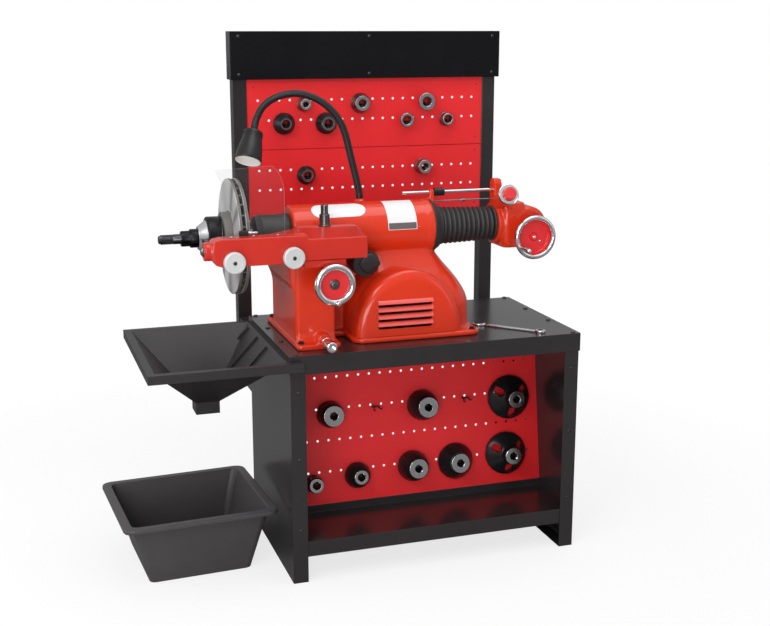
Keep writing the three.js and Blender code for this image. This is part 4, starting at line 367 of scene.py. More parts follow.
def mesh_of(shape, name="blank"):
    """A drawn shape as mesh data, with its faces turned outward."""
    bmesh.ops.recalc_face_normals(shape, faces=shape.faces)
    data = bpy.data.meshes.new(name)
    shape.to_mesh(data)
    shape.free()
    return data


def finish_piece(name, shape, materials, body, replaced=None, edge=0.0, sharp=35):
    """Brings a drawn shape into the model's frame, gives it smooth faces with crisp edges, and
    hangs it on the body that carries it."""
    bmesh.ops.remove_doubles(shape, verts=shape.verts, dist=0.002)
    loose = [v for v in shape.verts if not v.link_faces]
    bmesh.ops.delete(shape, geom=loose, context="VERTS")
    bmesh.ops.transform(shape, matrix=TO_MODEL, verts=shape.verts)
    data = mesh_of(shape, name)
    for material in materials:
        data.materials.append(material)
    for polygon in data.polygons:
        polygon.use_smooth = True
    data.set_sharp_from_angle(angle=math.radians(sharp))
    piece = placed(name, data)
    if edge:
        bevel = piece.modifiers.new("edge", "BEVEL")
        bevel.width = edge / 1000
        bevel.segments = 2
        bevel.limit_method = "ANGLE"
        bevel.angle_limit = math.radians(sharp)
        bevel.harden_normals = True
    if replaced:
        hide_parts(replaced)
    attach(piece, body)
    return piece


for name, bottom in UPPER_BOARDS.items():
    sheet = board_sheet(899.4, 249.4, (104.4, 175.4), 18.0)
    bmesh.ops.translate(sheet, vec=(0, UPPER_BOARD_FRONT, bottom), verts=sheet.verts)
    finish_piece(name + "_sheet", sheet, [BOARD_RED], "bench", name, 0.8)
sheet = board_sheet(986.8, 548, (111, 220, 329, 438))
bmesh.ops.transform(sheet, matrix=ON_LOWER, verts=sheet.verts)
finish_piece("lower_peg_board_sheet", sheet, [BOARD_RED], "bench",
             "lower_peg_board")

# Back frame and header
# Square steel posts on welded brackets carry a folded sheet box whose front is left blank, all in
# the bench's gloss black and held by domed screws.
HEADER_BLACK = enamel("header_black", (0.004, 0.004, 0.005), 0.16, 0.10, 0.25, coat=0.0,
                      shine=0.2)
for name, paint in (("frame_post_left", BENCH_BLACK), ("frame_post_right", BENCH_BLACK),
                    ("header_box", HEADER_BLACK)):
    dress(name, paint, 0.0015)
FRONT = (0, -1, 0)
RIGHT = (1, 0, 0)
UP = (0, 0, 1)


def aimed(centre, direction):
    """The place at the centre whose upward axis points in the given direction."""
    turn = Vector(direction).to_track_quat("Z", "Y").to_matrix().to_4x4()
    return Matrix.Translation(Vector(centre)) @ turn


def spin_profile(shape, profile, centre, direction, steps=64, material=0):
    """Turns a profile of (distance along, radius) about an axis through the centre, and joins
    its ends where both are off the axis."""
    verts = [shape.verts.new((radius, 0, along)) for along, radius in profile]
    edges = [shape.edges.new(pair) for pair in zip(verts, verts[1:])]
    if profile[0][1] and profile[-1][1]:
        edges.append(shape.edges.new((verts[-1], verts[0])))
    made = bmesh.ops.spin(shape, geom=verts + edges, cent=(0, 0, 0), axis=(0, 0, 1),
                          angle=2 * math.pi, steps=steps, use_merge=True)
    whole = dict.fromkeys(verts + only_verts(made["geom_last"]))
    pending = list(whole)
    while pending:
        for edge in pending.pop().link_edges:
            for vert in edge.verts:
                if vert not in whole:
                    whole[vert] = None
                    pending.append(vert)
    for face in faces_of(whole):
        face.material_index = material
    bmesh.ops.transform(shape, matrix=aimed(centre, direction), verts=list(whole))
    return whole


def dome_screw(shape, centre, direction, radius=6.0, rise=3.2):
    """A round-headed screw with a round socket."""
    socket = radius * 0.42
    spin_profile(shape, [(0, radius), (rise * 0.45, radius * 0.94), (rise * 0.8, radius * 0.72),
                         (rise, socket), (rise * 0.3, socket), (rise * 0.3, 0)],
                 centre, direction, 20)


screws = bmesh.new()
for x in (-480, 0, 480):
    for z in (1590, 1722):
        dome_screw(screws, (x, 455.2, z), FRONT)
for x in (-471, 471):
    for z in (180, 420, 640):
        dome_screw(screws, (x, -294.0, z), FRONT)
for x in (-425, 425):
    for z in (1300, 1350, 1100, 1546):
        dome_screw(screws, (x, 478.2, z), FRONT, 5.0, 2.6)
finish_piece("frame_screws", screws, [BENCH_BLACK], "bench")

# Small adapters on the upper boards
# Nine steel cones and rings with bored middles, three of them black, each pushed on a peg of the
# upper boards. Each row has its board, place across and height, radius at the back and front,
# bore and length.


def plain_metal(name, colour, gloss, wear=0.15, metallic=1.0, pits=0.08):
    """Polished, plated or oxidised metal with faint handling marks."""
    return uneven(name, shade(colour, 1 - wear), colour, gloss, (18.0, 4), (600.0, 2),
                  (pits, 0.0002), 0.14, Metallic=metallic)


BRIGHT_STEEL = plain_metal("bright_steel", (0.66, 0.66, 0.67), 0.16)
BLACK_OXIDE = plain_metal("black_oxide", (0.035, 0.035, 0.038), 0.20, 0.3, 0.7)
ADAPTER_STEEL = plain_metal("adapter_steel", (0.30, 0.29, 0.29), 0.20, 0.3)
UPPER_ADAPTERS = (
    ("upper", -242, 1484, 26, 20, 9, 40), ("upper", -317, 1416, 39, 22, 13, 44),
    ("upper", -160, 1414, 39, 26, 14, 44), ("upper", -30, 1484, 36, 28, 13, 40),
    ("upper", 219, 1486, 22, 32, 16, 40), ("upper", 143, 1420, 18, 26, 15, 36),
    ("upper", 304, 1420, 26, 22, 14, 36), ("middle", -237, 1228, 34, 24, 12, 34),
    ("middle", 212, 1246, 30, 26, 12, 42),
)
for board in ("upper", "middle"):
    cones = bmesh.new()
    pegs = bmesh.new()
    for place, x, z, back, front, bore, length in UPPER_ADAPTERS:
        if place != board:
            continue
        lip = min(3.0, (front - bore) * 0.3)
        made = spin_profile(cones, [
            (0.4, bore), (0.4, back - 1), (1.4, back), (length * 0.3, back),
            (length * 0.34, back - 1.5), (length - 2, front + 0.5), (length, front - 1.5),
            (length, bore + lip), (length - lip, bore),
        ], (x, UPPER_BOARD_FRONT, z), FRONT, 48)
        end_face = UPPER_BOARD_FRONT - length + 1
        for face in faces_of(made):
            black = 2 if back > 32 and z < 1420 else 0
            end = abs(face.normal.y) > 0.9 and face.calc_center_median().y < end_face
            face.material_index = black + (1 if end else 0)
        spin_profile(pegs, [(-1, 0), (-1, 5), (length * 0.72, 5), (length * 0.8, 3.4),
                            (length * 0.8, 0)], (x, UPPER_BOARD_FRONT, z - bore + 6), FRONT, 20)
    finish_piece(board + "_board_adapters", cones,
                 [ADAPTER_STEEL, BRIGHT_STEEL, BLACK_OXIDE, ADAPTER_STEEL], "bench",
                 edge=0.5)
    finish_piece(board + "_board_pegs", pegs, [BLACK_OXIDE], "bench")

# Adapters on the lower board
# Black-oxide centring cups, a cone and two windowed bells with bright turned ends, each hanging
# by its bore on a plain steel peg, with two wire hooks between them. Each has its place across
# and height, radius at the back and front, and length.
LOWER_ADAPTERS = {
    "adapter_cup_1": (-285.2, 316.4, 46.0, 35.9, 62.2),
    "adapter_cup_2": (50.3, 317.5, 53.8, 35.9, 78.1),
    "adapter_bell_1": (379.9, 315.3, 78.0, 30.0, 84.0),
    "adapter_cup_3": (-354.3, 81.2, 30.0, 25.0, 47.9),
    "adapter_cup_4": (-197.4, 94.9, 45.0, 25.0, 59.6),
    "adapter_cup_5": (5.9, 105.8, 53.8, 34.0, 75.6),
    "adapter_cone_1": (166.8, 105.3, 64.0, 34.0, 62.2),
    "adapter_bell_2": (360.2, 114.1, 76.0, 30.0, 84.0),
}
BORE = 13.0
PEG_RADIUS = 7.0
HOOK_HEIGHT = 322.4


def pivot(centre, turn, axis):
    """The place at the centre, turned about an axis."""
    return Matrix.Translation(Vector(centre)) @ Matrix.Rotation(turn, 4, axis)


def block(shape, x0, x1, y0, y1, z0, z1, material=0):
    size = Matrix.Diagonal((x1 - x0, y1 - y0, z1 - z0, 1))
    middle = Matrix.Translation(((x0 + x1) / 2, (y0 + y1) / 2, (z0 + z1) / 2))
    verts = bmesh.ops.create_cube(shape, size=1, matrix=middle @ size)["verts"]
    for face in faces_of(verts):
        face.material_index = material
    return verts


def applied(data, steps):
    """The mesh with modifiers applied, each given as its kind and settings."""
    piece = placed("blank", data)
    for kind, settings in steps:
        made = piece.modifiers.new(kind, kind)
        for key, value in settings.items():
            setattr(made, key, value)
    bpy.context.view_layer.update()
    ready = piece.evaluated_get(bpy.context.evaluated_depsgraph_get())
    result = bmesh.new()
    result.from_mesh(bpy.data.meshes.new_from_object(ready))
    bpy.data.objects.remove(piece)
    return result


def carved(shape, cutters):
    """The shape with each cutter's volume taken away."""
    tools = []
    for cutter in cutters:
        bmesh.ops.remove_doubles(cutter, verts=cutter.verts, dist=0.001)
        tools.append(placed("cutter", mesh_of(cutter)))
    result = applied(mesh_of(shape), [("BOOLEAN", {
        "object": tool, "operation": "DIFFERENCE", "solver": "MANIFOLD"}) for tool in tools])
    for tool in tools:
        bpy.data.objects.remove(tool)
    return result


def rounded_bar(x0, x1, y0, y1, z0, z1, radius, axis="Y"):
    """A straight bar with a round-cornered section, for slots and windows."""
    shape = bmesh.new()
    block(shape, x0, x1, y0, y1, z0, z1)
    along = "XYZ".index(axis)
    edges = [e for e in shape.edges
             if abs((e.verts[0].co - e.verts[1].co).normalized()[along]) > 0.99]
    bmesh.ops.bevel(shape, geom=edges, offset=radius, segments=5, affect="EDGES",
                    profile=0.5, material=-1)
    return shape


pegs = bmesh.new()
for name, (x, peg_height, back, front, length) in LOWER_ADAPTERS.items():
    centre = (x, 0, peg_height - (BORE - PEG_RADIUS - 0.3))
    end = 0.5 + length
    shape = bmesh.new()
    if name.startswith("adapter_bell"):
        spin_profile(shape, [
            (0.5, back - 13), (0.5, back - 1.5), (2, back), (15, back), (17.5, back - 2.5),
            (21, back - 6), (length * 0.58, front + 3), (length * 0.62, front),
            (end - 1.5, front), (end, front - 1.5), (end, BORE + 2), (end - 2, BORE),
            (length * 0.42, BORE), (length * 0.42, front - 6), (length * 0.5, front - 4),
            (18, back - 13),
        ], centre, FRONT, 96)
        windows = []
        for third in range(3):
            window = rounded_bar(-14, 14, -end * 2, end, front + 4, back - 9, 9)
            window.transform(pivot(centre, math.radians(120 * third + 60), "Y"))
            windows.append(window)
        shape = carved(shape, windows)
    else:
        if name.startswith("adapter_cone"):
            side = [(length * 0.22, back), (length * 0.26, back - 1.2), (end - 6, front + 3),
                    (end - 5, front)]
        else:
            side = [(length * 0.28, back), (length * 0.33, back - 1.2),
                    (length * 0.42, back - 2), (length * 0.70, back * 0.55 + front * 0.45),
                    (end - 9, front + 2.5), (end - 6, front)]
        spin_profile(shape, [
            (0.5, BORE), (0.5, back - 1.5), (2, back), *side, (end - 1, front),
            (end, front - 1), (end, BORE + 2), (end - 2, BORE),
        ], centre, FRONT, 80)
    for face in shape.faces:
        spot = face.calc_center_median()
        distance = math.hypot(spot.x - centre[0], spot.z - centre[2])
        if spot.y < -end + 2.2 and distance < front:
            face.material_index = 1
    bmesh.ops.transform(shape, matrix=ON_LOWER, verts=shape.verts)
    finish_piece(name + "_turned", shape, [BLACK_OXIDE, BRIGHT_STEEL], name + "_body",
                 name, 0.6)
    spin_profile(pegs, [(-1, 0), (-1, PEG_RADIUS), (length * 0.76, PEG_RADIUS),
                        (length * 0.8, PEG_RADIUS - 2), (length * 0.8, 0)],
                 (x, 0, peg_height), FRONT, 24)


def skin(shape, loops, material=0):
    """Bridges loops one after the other and closes both ends."""
    for (_, lower), (_, upper) in zip(loops, loops[1:]):
        for face in bmesh.ops.bridge_loops(shape, edges=lower + upper)["faces"]:
            face.material_index = material
    for verts, _ in (loops[0], loops[-1]):
        shape.faces.new(verts).material_index = material


def tube(shape, places, radii, sides):
    """A ring at each place, bridged into a round bar or wire."""
    rings = []
    for place, radius in zip(places, radii):
        verts = bmesh.ops.create_circle(shape, segments=sides, radius=radius,
                                        matrix=place)["verts"]
        rings.append((verts, edges_of(verts)))
    skin(shape, rings)


def headings(points):
    """The direction at each point of a line."""
    ends = [points[0], *points, points[-1]]
    return [(Vector(after) - Vector(before)).normalized() for before, after in zip(ends, ends[2:])]


for x in (-123.4, 210.2):
    for bend in (
        [(0, 0, 0), (0, -13, 0), (0, -17, 0)],
        [(-13, -17, 2), (-9, -17, 0), (9, -17, 0), (13, -17, 2)],
        [(11, -17, 1), (16, -21, -8), (19, -24, -9), (24, -25, -5)],
        [(-4, -17, 0), (-6, -19, -9), (-3, -23, -14)],
    ):
        wire = [(x + across, out, HOOK_HEIGHT + rise) for across, out, rise in bend]
        tube(pegs, [aimed(*spot) for spot in zip(wire, headings(wire))], [2.5] * len(wire), 10)
bmesh.ops.transform(pegs, matrix=ON_LOWER, verts=pegs.verts)
finish_piece("lower_pegs_and_hooks", pegs, [BLACK_OXIDE], "bench")

# Base casting
# One grey-iron casting in glossy orange-red: a long barrel for the quill, a bell-shaped housing
# over the motor, a column for the cross slide and a flanged foot. Blank shapes are run together
# so that every joint has a cast fillet, then the bores and slots are cut crisp.
AXIS = (0, 0, 1097)
BARREL_RADIUS = 93.0
FOOT = 760.3
FLANGE_TOP = 778.3
BELL_TOP = 1088.0
BELL_LEVELS = ((0, 1), (0.1, 0.996), (0.2, 0.988), (0.3, 0.972), (0.37, 0.92), (0.44, 0.83),
               (0.515, 0.70), (0.59, 0.55), (0.665, 0.38), (0.74, 0.23), (0.80, 0.12),
               (0.86, 0.04), (1, 0))
SWITCH = (-185, -108, 1006)
PLUNGER = (-370, -240, 788)
CROSS_SCREW = (-348, -268, 977)
TONGUE_SLOT = (-368.2, -327.8)
STOP_AXIS = (0, 0, 1212)
GUIDE_AXIS = (0, 0, 1181)


def casting_paint(name, colour):
    """Thick gloss enamel over a sand casting: soft waves under a smooth coat."""
    finish = Finish(name)
    place = finish.place()
    waves = finish.noise(place, 28.0, 2, 0.5)
    broad = finish.noise(place, 5.0, 3)
    fine = finish.noise(place, 260.0, 2)
    return finish.set(
        Base_Color=finish.mix(broad, shade(colour, 0.90), shade(colour, 1.05, 0.002)),
        Roughness=broad * 0.08 + 0.20,
        Coat_Weight=0.3, Coat_Roughness=0.05, Specular_IOR_Level=0.3,
        Normal=finish.bump(waves + fine * 0.08, 0.16, 0.003),
    )


def extruded(shape, points, shift, material=0):
    """A flat outline pushed along a vector."""
    face = shape.faces.new([shape.verts.new(p) for p in points])
    verts = only_verts(bmesh.ops.extrude_face_region(shape, geom=[face])["geom"])
    bmesh.ops.translate(shape, vec=Vector(shift), verts=verts)
    for each in [face, *faces_of(verts)]:
        each.material_index = material


def closed_loop(shape, points):
    """The vertices and edges of a closed outline."""
    verts = [shape.verts.new(p) for p in points]
    return verts, [shape.edges.new(pair) for pair in zip(verts, verts[1:] + verts[:1])]


def ring_loop(shape, x0, x1, y0, y1, radius, z, steps=8):
    """A closed loop of edges round a rectangle with round corners."""
    points = []
    for quarter, (x, y) in enumerate((
            (x1 - radius, y1 - radius), (x0 + radius, y1 - radius),
            (x0 + radius, y0 + radius), (x1 - radius, y0 + radius))):
        for i in range(steps + 1):
            a = (quarter + i / steps) * math.pi / 2
            points.append((x + radius * math.cos(a), y + radius * math.sin(a), z))
    return closed_loop(shape, points)


def cast(shape, voxel=4.5, rounds=6):
    """Runs overlapping blanks into one body with soft fillets."""
    return applied(mesh_of(shape), [
        ("REMESH", {"mode": "VOXEL", "voxel_size": voxel}),
        ("SMOOTH", {"factor": 0.5, "iterations": rounds}),
    ])


def turned(centre, direction, *profiles):
    """A shape of turned profiles, each with its steps round and in the next material slot."""
    shape = bmesh.new()
    for material, (steps, profile) in enumerate(profiles):
        spin_profile(shape, profile, centre, direction, steps, material)
    return shape


def rod_profile(radius, start, end):
    return [(start, 0), (start, radius), (end, radius), (end, 0)]


def rod(radius, start, end, centre, direction, steps=48):
    return turned(centre, direction, (steps, rod_profile(radius, start, end)))


def pin_hole(centre, direction=FRONT):
    return rod(6.4, -13, 5, centre, direction, 24)


def box_shape(*sides):
    shape = bmesh.new()
    block(shape, *sides)
    return shape


def bell(shape, grow=0.0, floor_height=FOOT):
    loops = []
    for rise, spread in BELL_LEVELS:
        z = FOOT + (BELL_TOP - FOOT) * rise if rise else floor_height
        loops.append(ring_loop(
            shape, -165 - 90 * spread - grow, 55 + 121 * spread + grow,
            -62 - 128 * spread - grow, 62 + 128 * spread + grow,
            40 + 80 * spread + grow, z, 10))
    skin(shape, loops)


def column(shape, grow=0.0, floor_height=FOOT, top=1030.0):
    levels = [(floor_height, 34, 24), (FOOT + 20, 16, 18), (FOOT + 40, 0, 12), (top, 0, 12)]
    skin(shape, [ring_loop(shape, -452 - grow, -321 + grow, -200 - flare - grow,
                           130 + flare + grow, corner, z, 5)
                 for z, flare, corner in levels])


CAST_RED = casting_paint("cast_red", (0.62, 0.030, 0.006))
casting = turned(AXIS, RIGHT, (96, [
    (-424, 0), (-424, 91), (-422, 93), (34, 93), (36, 95.5), (56, 95.5), (60, 92), (88, 72),
    (89, 70), (89, 0)]))
bell(casting)
column(casting)
for x0, x1, y0, y1, corner, top in (
        (-339, -165, -62, 62, 14, 1039), (-457, -312, -239, 204, 14, FLANGE_TOP),
        (-264, 180, -216, 216, 44, FLANGE_TOP)):
    skin(casting, [ring_loop(casting, x0, x1, y0, y1, corner, z) for z in (FOOT, top)])
block(casting, -330, -135, -96, 96, FOOT, FLANGE_TOP)
extruded(casting, [(x, -192, z) for x, z in (
    (-440, 905), (-452, 918), (-453, 930), (-456, 945), (-461, 958), (-467, 970), (-468, 1029),
    (-440, 1029))], (0, 318, 0))
block(casting, 64, 82, -11, 11, 1160, 1223)
for radius, start, centre, direction in (
        (26, -63, SWITCH, FRONT), (21.5, -36, PLUNGER, FRONT), (17, -45, (-166, 45, 1196), UP),
        (24, -77, CROSS_SCREW, FRONT)):
    spin_profile(casting, rod_profile(radius, start, 0), centre, direction, 48)
casting = cast(casting)
bell_room = bmesh.new()
bell(bell_room, -9, FOOT - 5)
column_room = bmesh.new()
column(column_room, -12.6, FOOT - 5, 929)
casting = carved(casting, [
    rod(58.8, -430, 95, AXIS, RIGHT, 64), bell_room, column_room,
    box_shape(-111, -79, -50, 50, 870, 1072),
    box_shape(-219, 41, -195, -95, 787, 880), box_shape(-196, 41, -195, -95, 879, 922),
    box_shape(*TONGUE_SLOT, -275, -98, 1001.6, 1035),
    box_shape(*TONGUE_SLOT, -105, -43, 1001.6, 1012.4),
    box_shape(*TONGUE_SLOT, -186, -43, 957.6, 1004.5),
    rod(9, -233, 5, CROSS_SCREW, FRONT), pin_hole(SWITCH), pin_hole(PLUNGER),
    rod(5.9, 59, 87, STOP_AXIS, RIGHT, 24), rod(2.9, 78, 94, GUIDE_AXIS, RIGHT, 24),
])
finish_piece("base_casting_body", casting, [CAST_RED], "bench", "base_casting",
             sharp=50)

# Motor cover
# A pressed steel dome over the front of the housing, enamelled like the casting, with four open
# louvres under hoods and one screw at its lower left. The hoods are a paler red, a painted
# highlight for the light their upward slopes catch.
COVER = {"middle": -72.0, "half": 181.0, "base": 778.6, "top": 990.0, "front": -212.0,
         "shoulder": -190.0, "sheet": 5.0}
LOUVRES = (806, 830, 854, 878)
HOOD = ((-208, 20.5), (-212.4, 19.8), (-216, 17.6), (-221.4, 9.8), (-221.8, 8.0), (-220.8, 7.2),
        (-219.4, 8.0), (-212, 15.6), (-208, 17))
CHEEK = ((-209, 18), (-213, 18), (-221, 8), (-209, 7.4))
# The paler red of the hoods and their cheeks is a painted highlight, not a paint of their own.
LOUVRE_PAINTED_HIGHLIGHT = enamel("louvre_painted_highlight_red", (0.70, 0.085, 0.070), 0.3, 0.1, 0.05)


def dome(inset, back):
    """The cover's solid outline, or its hollow with an inset."""
    shape = bmesh.new()
    rise = COVER["top"] - COVER["base"]
    shoulder = COVER["shoulder"] + inset / 2
    front = COVER["front"] + inset
    sections = [(1, 1, back), (1, 1, shoulder)]
    for i in range(1, 9):
        turn = math.pi / 2 * i / 8
        sections.append((1 - 0.2 * (1 - math.cos(turn)), 1 - 0.18 * (1 - math.cos(turn)),
                         shoulder + (front - shoulder) * math.sin(turn)))
    loops = []
    for wide, high, y in sections:
        arch = [math.pi * i / 48 for i in range(49)]
        loops.append(closed_loop(shape, [
            (COVER["middle"] + (COVER["half"] * wide - inset) * math.cos(a), y,
             COVER["base"] + (rise * high - inset) * math.sin(a)) for a in arch]))
    skin(shape, loops)
    return shape


behind = bmesh.new()
bell(behind, 0.3, FOOT - 5)
slots = [rounded_bar(-182, 2, -217, -202, z - 3, z + 13, 6.4) for z in LOUVRES]
cover = carved(dome(0.0, -62.0), [behind, dome(COVER["sheet"], -57.0), *slots])
for z in LOUVRES:
    extruded(cover, [(-184, y, z + rise) for y, rise in HOOD], (188, 0, 0), 1)
    for x in (-184, 2.4):
        extruded(cover, [(x, y, z + rise) for y, rise in CHEEK], (1.6, 0, 0), 1)
dome_screw(cover, (-231, -190.6, 824), FRONT, 8.0, 4.0)
finish_piece("motor_cover_pressing", cover, [CAST_RED, LOUVRE_PAINTED_HIGHLIGHT], "bench",
             "motor_cover", sharp=40)

# Motor, belt drive and quill
# Inside the casting a foot-mounted motor turns the spindle pulley by a flat belt, and the ground
# steel quill slides in its bore. They are seen only past the louvres and at the quill's ends.


def turned_metal(name, colour, gloss, groove=0.12, wear=0.1, centre=AXIS, axis="X", painted_reflection=0.0,
                 metallic=1.0):
    """Machined metal with fine rings round its axis and a little uneven polish, and optionally
    light and dark bands round the axis painted into its colour as a painted reflection.
    """
    finish = Finish(name)
    x, y, z = finish.parts(finish.place(TO_MODEL @ Vector(centre)))
    across, height = {"X": (y, z), "Y": (x, z)}[axis]
    radius = (across * across + height * height) ** 0.5
    rings = finish.node("ShaderNodeCombineXYZ", None, {"X": radius, "Y": x * 0.02})
    marks = finish.noise(rings, 900.0, 2)
    broad = finish.noise(finish.place(), 22.0, 3)
    tone = finish.mix(broad, shade(colour, 1 - wear), colour)
    # Light and dark bands round the axis, painted into the colour as a painted reflection of the
    # studio.
    if painted_reflection:
        reflection_bands = (height / radius * 11 + across / radius * 6).wave()
        tone = finish.mix((reflection_bands * 0.5 + 0.5) ** 2 * painted_reflection, tone, (0.20, 0.19, 0.19))
    return finish.set(Base_Color=tone, Metallic=metallic,
                      Roughness=broad * 0.12 + marks * 0.08 + gloss,
                      Normal=finish.bump(marks, groove, 0.0002))


def rubber(name, colour, gloss=0.42, grain=0.35, scale=900.0):
    """Moulded rubber with a dull bloom and a fine grain."""
    return uneven(name, colour, shade(colour, 1.7, 0.004), gloss, (14.0, 4), (scale, 3),
                  (grain, 0.0003), 0.2, 0.08)


RUBBER = rubber("black_rubber", (0.012, 0.012, 0.013))
GROUND_STEEL = turned_metal("ground_steel", (0.60, 0.60, 0.61), 0.22)
MOTOR_STEEL = turned_metal("motor_shaft_steel", (0.55, 0.55, 0.56), 0.26, centre=(0, 0, 870))
for name, material in (("quill_tube", GROUND_STEEL), ("spindle_pulley", GROUND_STEEL),
                       ("motor_shaft", MOTOR_STEEL)):
    dress(name, material, 0.0004, 1, 30)
dress("motor_stator", enamel("motor_grey", (0.05, 0.05, 0.055), 0.4, 0.3, 0.2))
dress("drive_belt", RUBBER)

# Nose boot
# A black rubber sleeve stretched over the quill's nose, with a rolled lip against the barrel.
boot = turned(AXIS, RIGHT, (72, [
    (-540, 25.2), (-540, 58), (-538, 61), (-522, 63.5), (-519.3, 66), (-516, 66), (-505, 64.6),
    (-480, 64.2), (-452, 64.4), (-440, 65.6), (-436, 66), (-427, 66), (-424.4, 64.5),
    (-424.4, 58.4), (-519.3, 58.4), (-519.3, 25.2)]))
finish_piece("nose_boot_sleeve", boot, [RUBBER], "quill", "nose_boot")

# Bellows
# Black rubber folds between a flared cuff, stretched over the barrel's tapered end, and the feed
# box.
RIBS = 11
RIB_STEPS = 12
BELLOWS_START = 89.3
BELLOWS_END = 296.0
BELLOWS_RUBBER = rubber("bellows_rubber", (0.019, 0.018, 0.019), 0.34)
first, last = BELLOWS_START + 8, BELLOWS_END - 8
outline = [(BELLOWS_START, 46), (BELLOWS_START, 66.3), (BELLOWS_START + 0.8, 67),
           (first - 0.8, 67), (first, 66.2), (first, 55.5)]
for i in range(RIBS * RIB_STEPS + 1):
    share = i / (RIBS * RIB_STEPS)
    wave = 0.5 - 0.5 * math.cos(2 * math.pi * i / RIB_STEPS)
    outline.append((first + (last - first) * share, 64 - 7 * share - 9 + 9 * wave ** 0.6))
outline += [(last, 59.2), (last + 0.8, 60), (BELLOWS_END - 0.8, 60), (BELLOWS_END, 59.2),
            (BELLOWS_END, 46)]
for i in range(RIBS, -1, -1):
    outline.append((first + (last - first) * i / RIBS, 45.2))
bellows_piece = finish_piece("bellows_folds", turned(AXIS, RIGHT, (72, outline)),
                             [BELLOWS_RUBBER], "bench", "bellows", sharp=50)
cuff = turned(AXIS, RIGHT, (96, [
    (58, 60), (58, 93), (59, 95), (61, 95.6), (64, 94), (72, 86.4), (82, 79), (88.9, 74.6),
    (88.9, 60)]))
finish_piece("bellows_cuff", cuff, [RUBBER], "bench")
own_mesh(bellows_piece)

# Spindle and arbor
# A ground arbor with a nut, a centring cone, a cup and a collar that clamp the disc between them,
# partly bright and partly black oxide.
ARBOR_STEEL = turned_metal("arbor_steel", (0.10, 0.10, 0.105), 0.20)
CONE_STEEL = turned_metal("cone_steel", (0.74, 0.74, 0.75), 0.14)
ARBOR_BLACK = turned_metal("arbor_black", (0.030, 0.030, 0.033), 0.26, 0.2, 0.35)
outline = [(-846, 0), (-846, 11), (-843.5, 13.2), (-838, 13.2), (-838, 16)]
for i in range(9):
    outline += [(-836 + i * 4.2, 16), (-833.9 + i * 4.2, 14.7)]
outline += [(-797, 16), (-560, 16), (-560, 26), (-557, 29), (-541, 29), (-541, 20), (284, 20),
            (284, 0)]
finish_piece("arbor_shaft", turned(AXIS, RIGHT, (48, outline)), [ARBOR_STEEL], "spindle",
             "spindle_shaft")
nut = turned(AXIS, RIGHT, (48, [
    (-774.8, 16.4), (-774.8, 23), (-773, 25), (-748, 25), (-746, 26), (-745.5, 29),
    (-743.5, 30), (-723, 30), (-721.4, 28.5), (-721.4, 16.4)]))
for i in range(4):
    flat = rounded_bar(-776, -752, -7, 7, 22.6, 30, 1.5, "X")
    flat.transform(pivot(AXIS, math.pi / 2 * i + 0.4, "X"))
    nut = carved(nut, [flat])
finish_piece("arbor_nut_turned", nut, [ARBOR_BLACK], "spindle", "arbor_nut")
for name, steps, material, slot, outline in (
    ("arbor_cone", 64, CONE_STEEL, "chrome", [
        (-720.9, 16.4), (-720.9, 36.5), (-719.5, 38), (-698, 53.2), (-696.5, 55.2), (-695, 56),
        (-694.4, 55), (-694.4, 16.4)]),
    ("arbor_cup", 72, ARBOR_BLACK, "black_iron", [
        (-693.9, 16.4), (-693.9, 62.5), (-692.5, 65.2), (-690, 67), (-647, 67), (-645.4, 66),
        (-645.4, 58.1), (-684.9, 58.1), (-684.9, 16.4)]),
    ("arbor_collar", 64, ARBOR_BLACK, "dark_steel", [
        (-636.6, 16.4), (-636.6, 50), (-635, 52), (-628, 52), (-626, 49), (-619, 34),
        (-616, 32), (-590, 32), (-588, 30.5), (-585, 30.5), (-583, 32), (-562, 32),
        (-560.4, 30.5), (-560.4, 16.4)]),
):
    finish_piece(name + "_turned", turned(AXIS, RIGHT, (steps, outline)), [material], "spindle",
                 name)

# Brake disc
# A vented cast-iron disc, freshly faced on both cheeks, with a hat, stud holes and vanes.
CHEEK_LEFT = -619
CHEEK_RIGHT = -588
HAT_FACE = -645
# The faced cheeks' light and dark bands round the axis are painted reflection in the colour.
FACED_IRON_PAINTED_REFLECTION = turned_metal("faced_iron_painted_reflection", (0.95, 0.93, 0.92), 0.24, 0.30, painted_reflection=0.75,
                          metallic=0.6)
RAW_IRON = plain_metal("raw_iron", (0.20, 0.19, 0.18), 0.55, 0.3, 0.5, 0.4)
disc = turned(AXIS, RIGHT, (128, [
    (HAT_FACE, 34), (HAT_FACE, 77), (-643.5, 79.3), (-642, 80), (CHEEK_LEFT, 80),
    (CHEEK_LEFT, 84), (-618.4, 85), (-618.4, 92), (CHEEK_LEFT, 93), (CHEEK_LEFT, 185),
    (-618, 186), (-610, 186), (-609, 185), (-609, 98), (-598, 98), (-598, 185), (-597, 186),
    (-589, 186), (CHEEK_RIGHT, 185), (CHEEK_RIGHT, 72), (-637, 72), (-637, 34)]))
for i in range(5):
    turn = 2 * math.pi * i / 5 + 0.3
    stud_place = (0, 57 * math.cos(turn), AXIS[2] + 57 * math.sin(turn))
    disc = carved(disc, [rod(7, -650, -630, stud_place, RIGHT, 24)])
disc.normal_update()
for face in disc.faces:
    spot = face.calc_center_median()
    radius = math.hypot(spot.y, spot.z - AXIS[2])
    if abs(face.normal.x) < 0.5 or radius < 84 or -609.5 < spot.x < -597.5:
        face.material_index = 1
for i in range(30):
    vane = block(disc, -608.8, -598.2, -2.5, 2.5, 99, 180, 1)
    bmesh.ops.transform(disc, verts=vane, matrix=pivot(AXIS, 2 * math.pi * i / 30, "X"))
finish_piece("brake_disc_turned", disc, [FACED_IRON_PAINTED_REFLECTION, RAW_IRON], "spindle",
             "brake_disc")

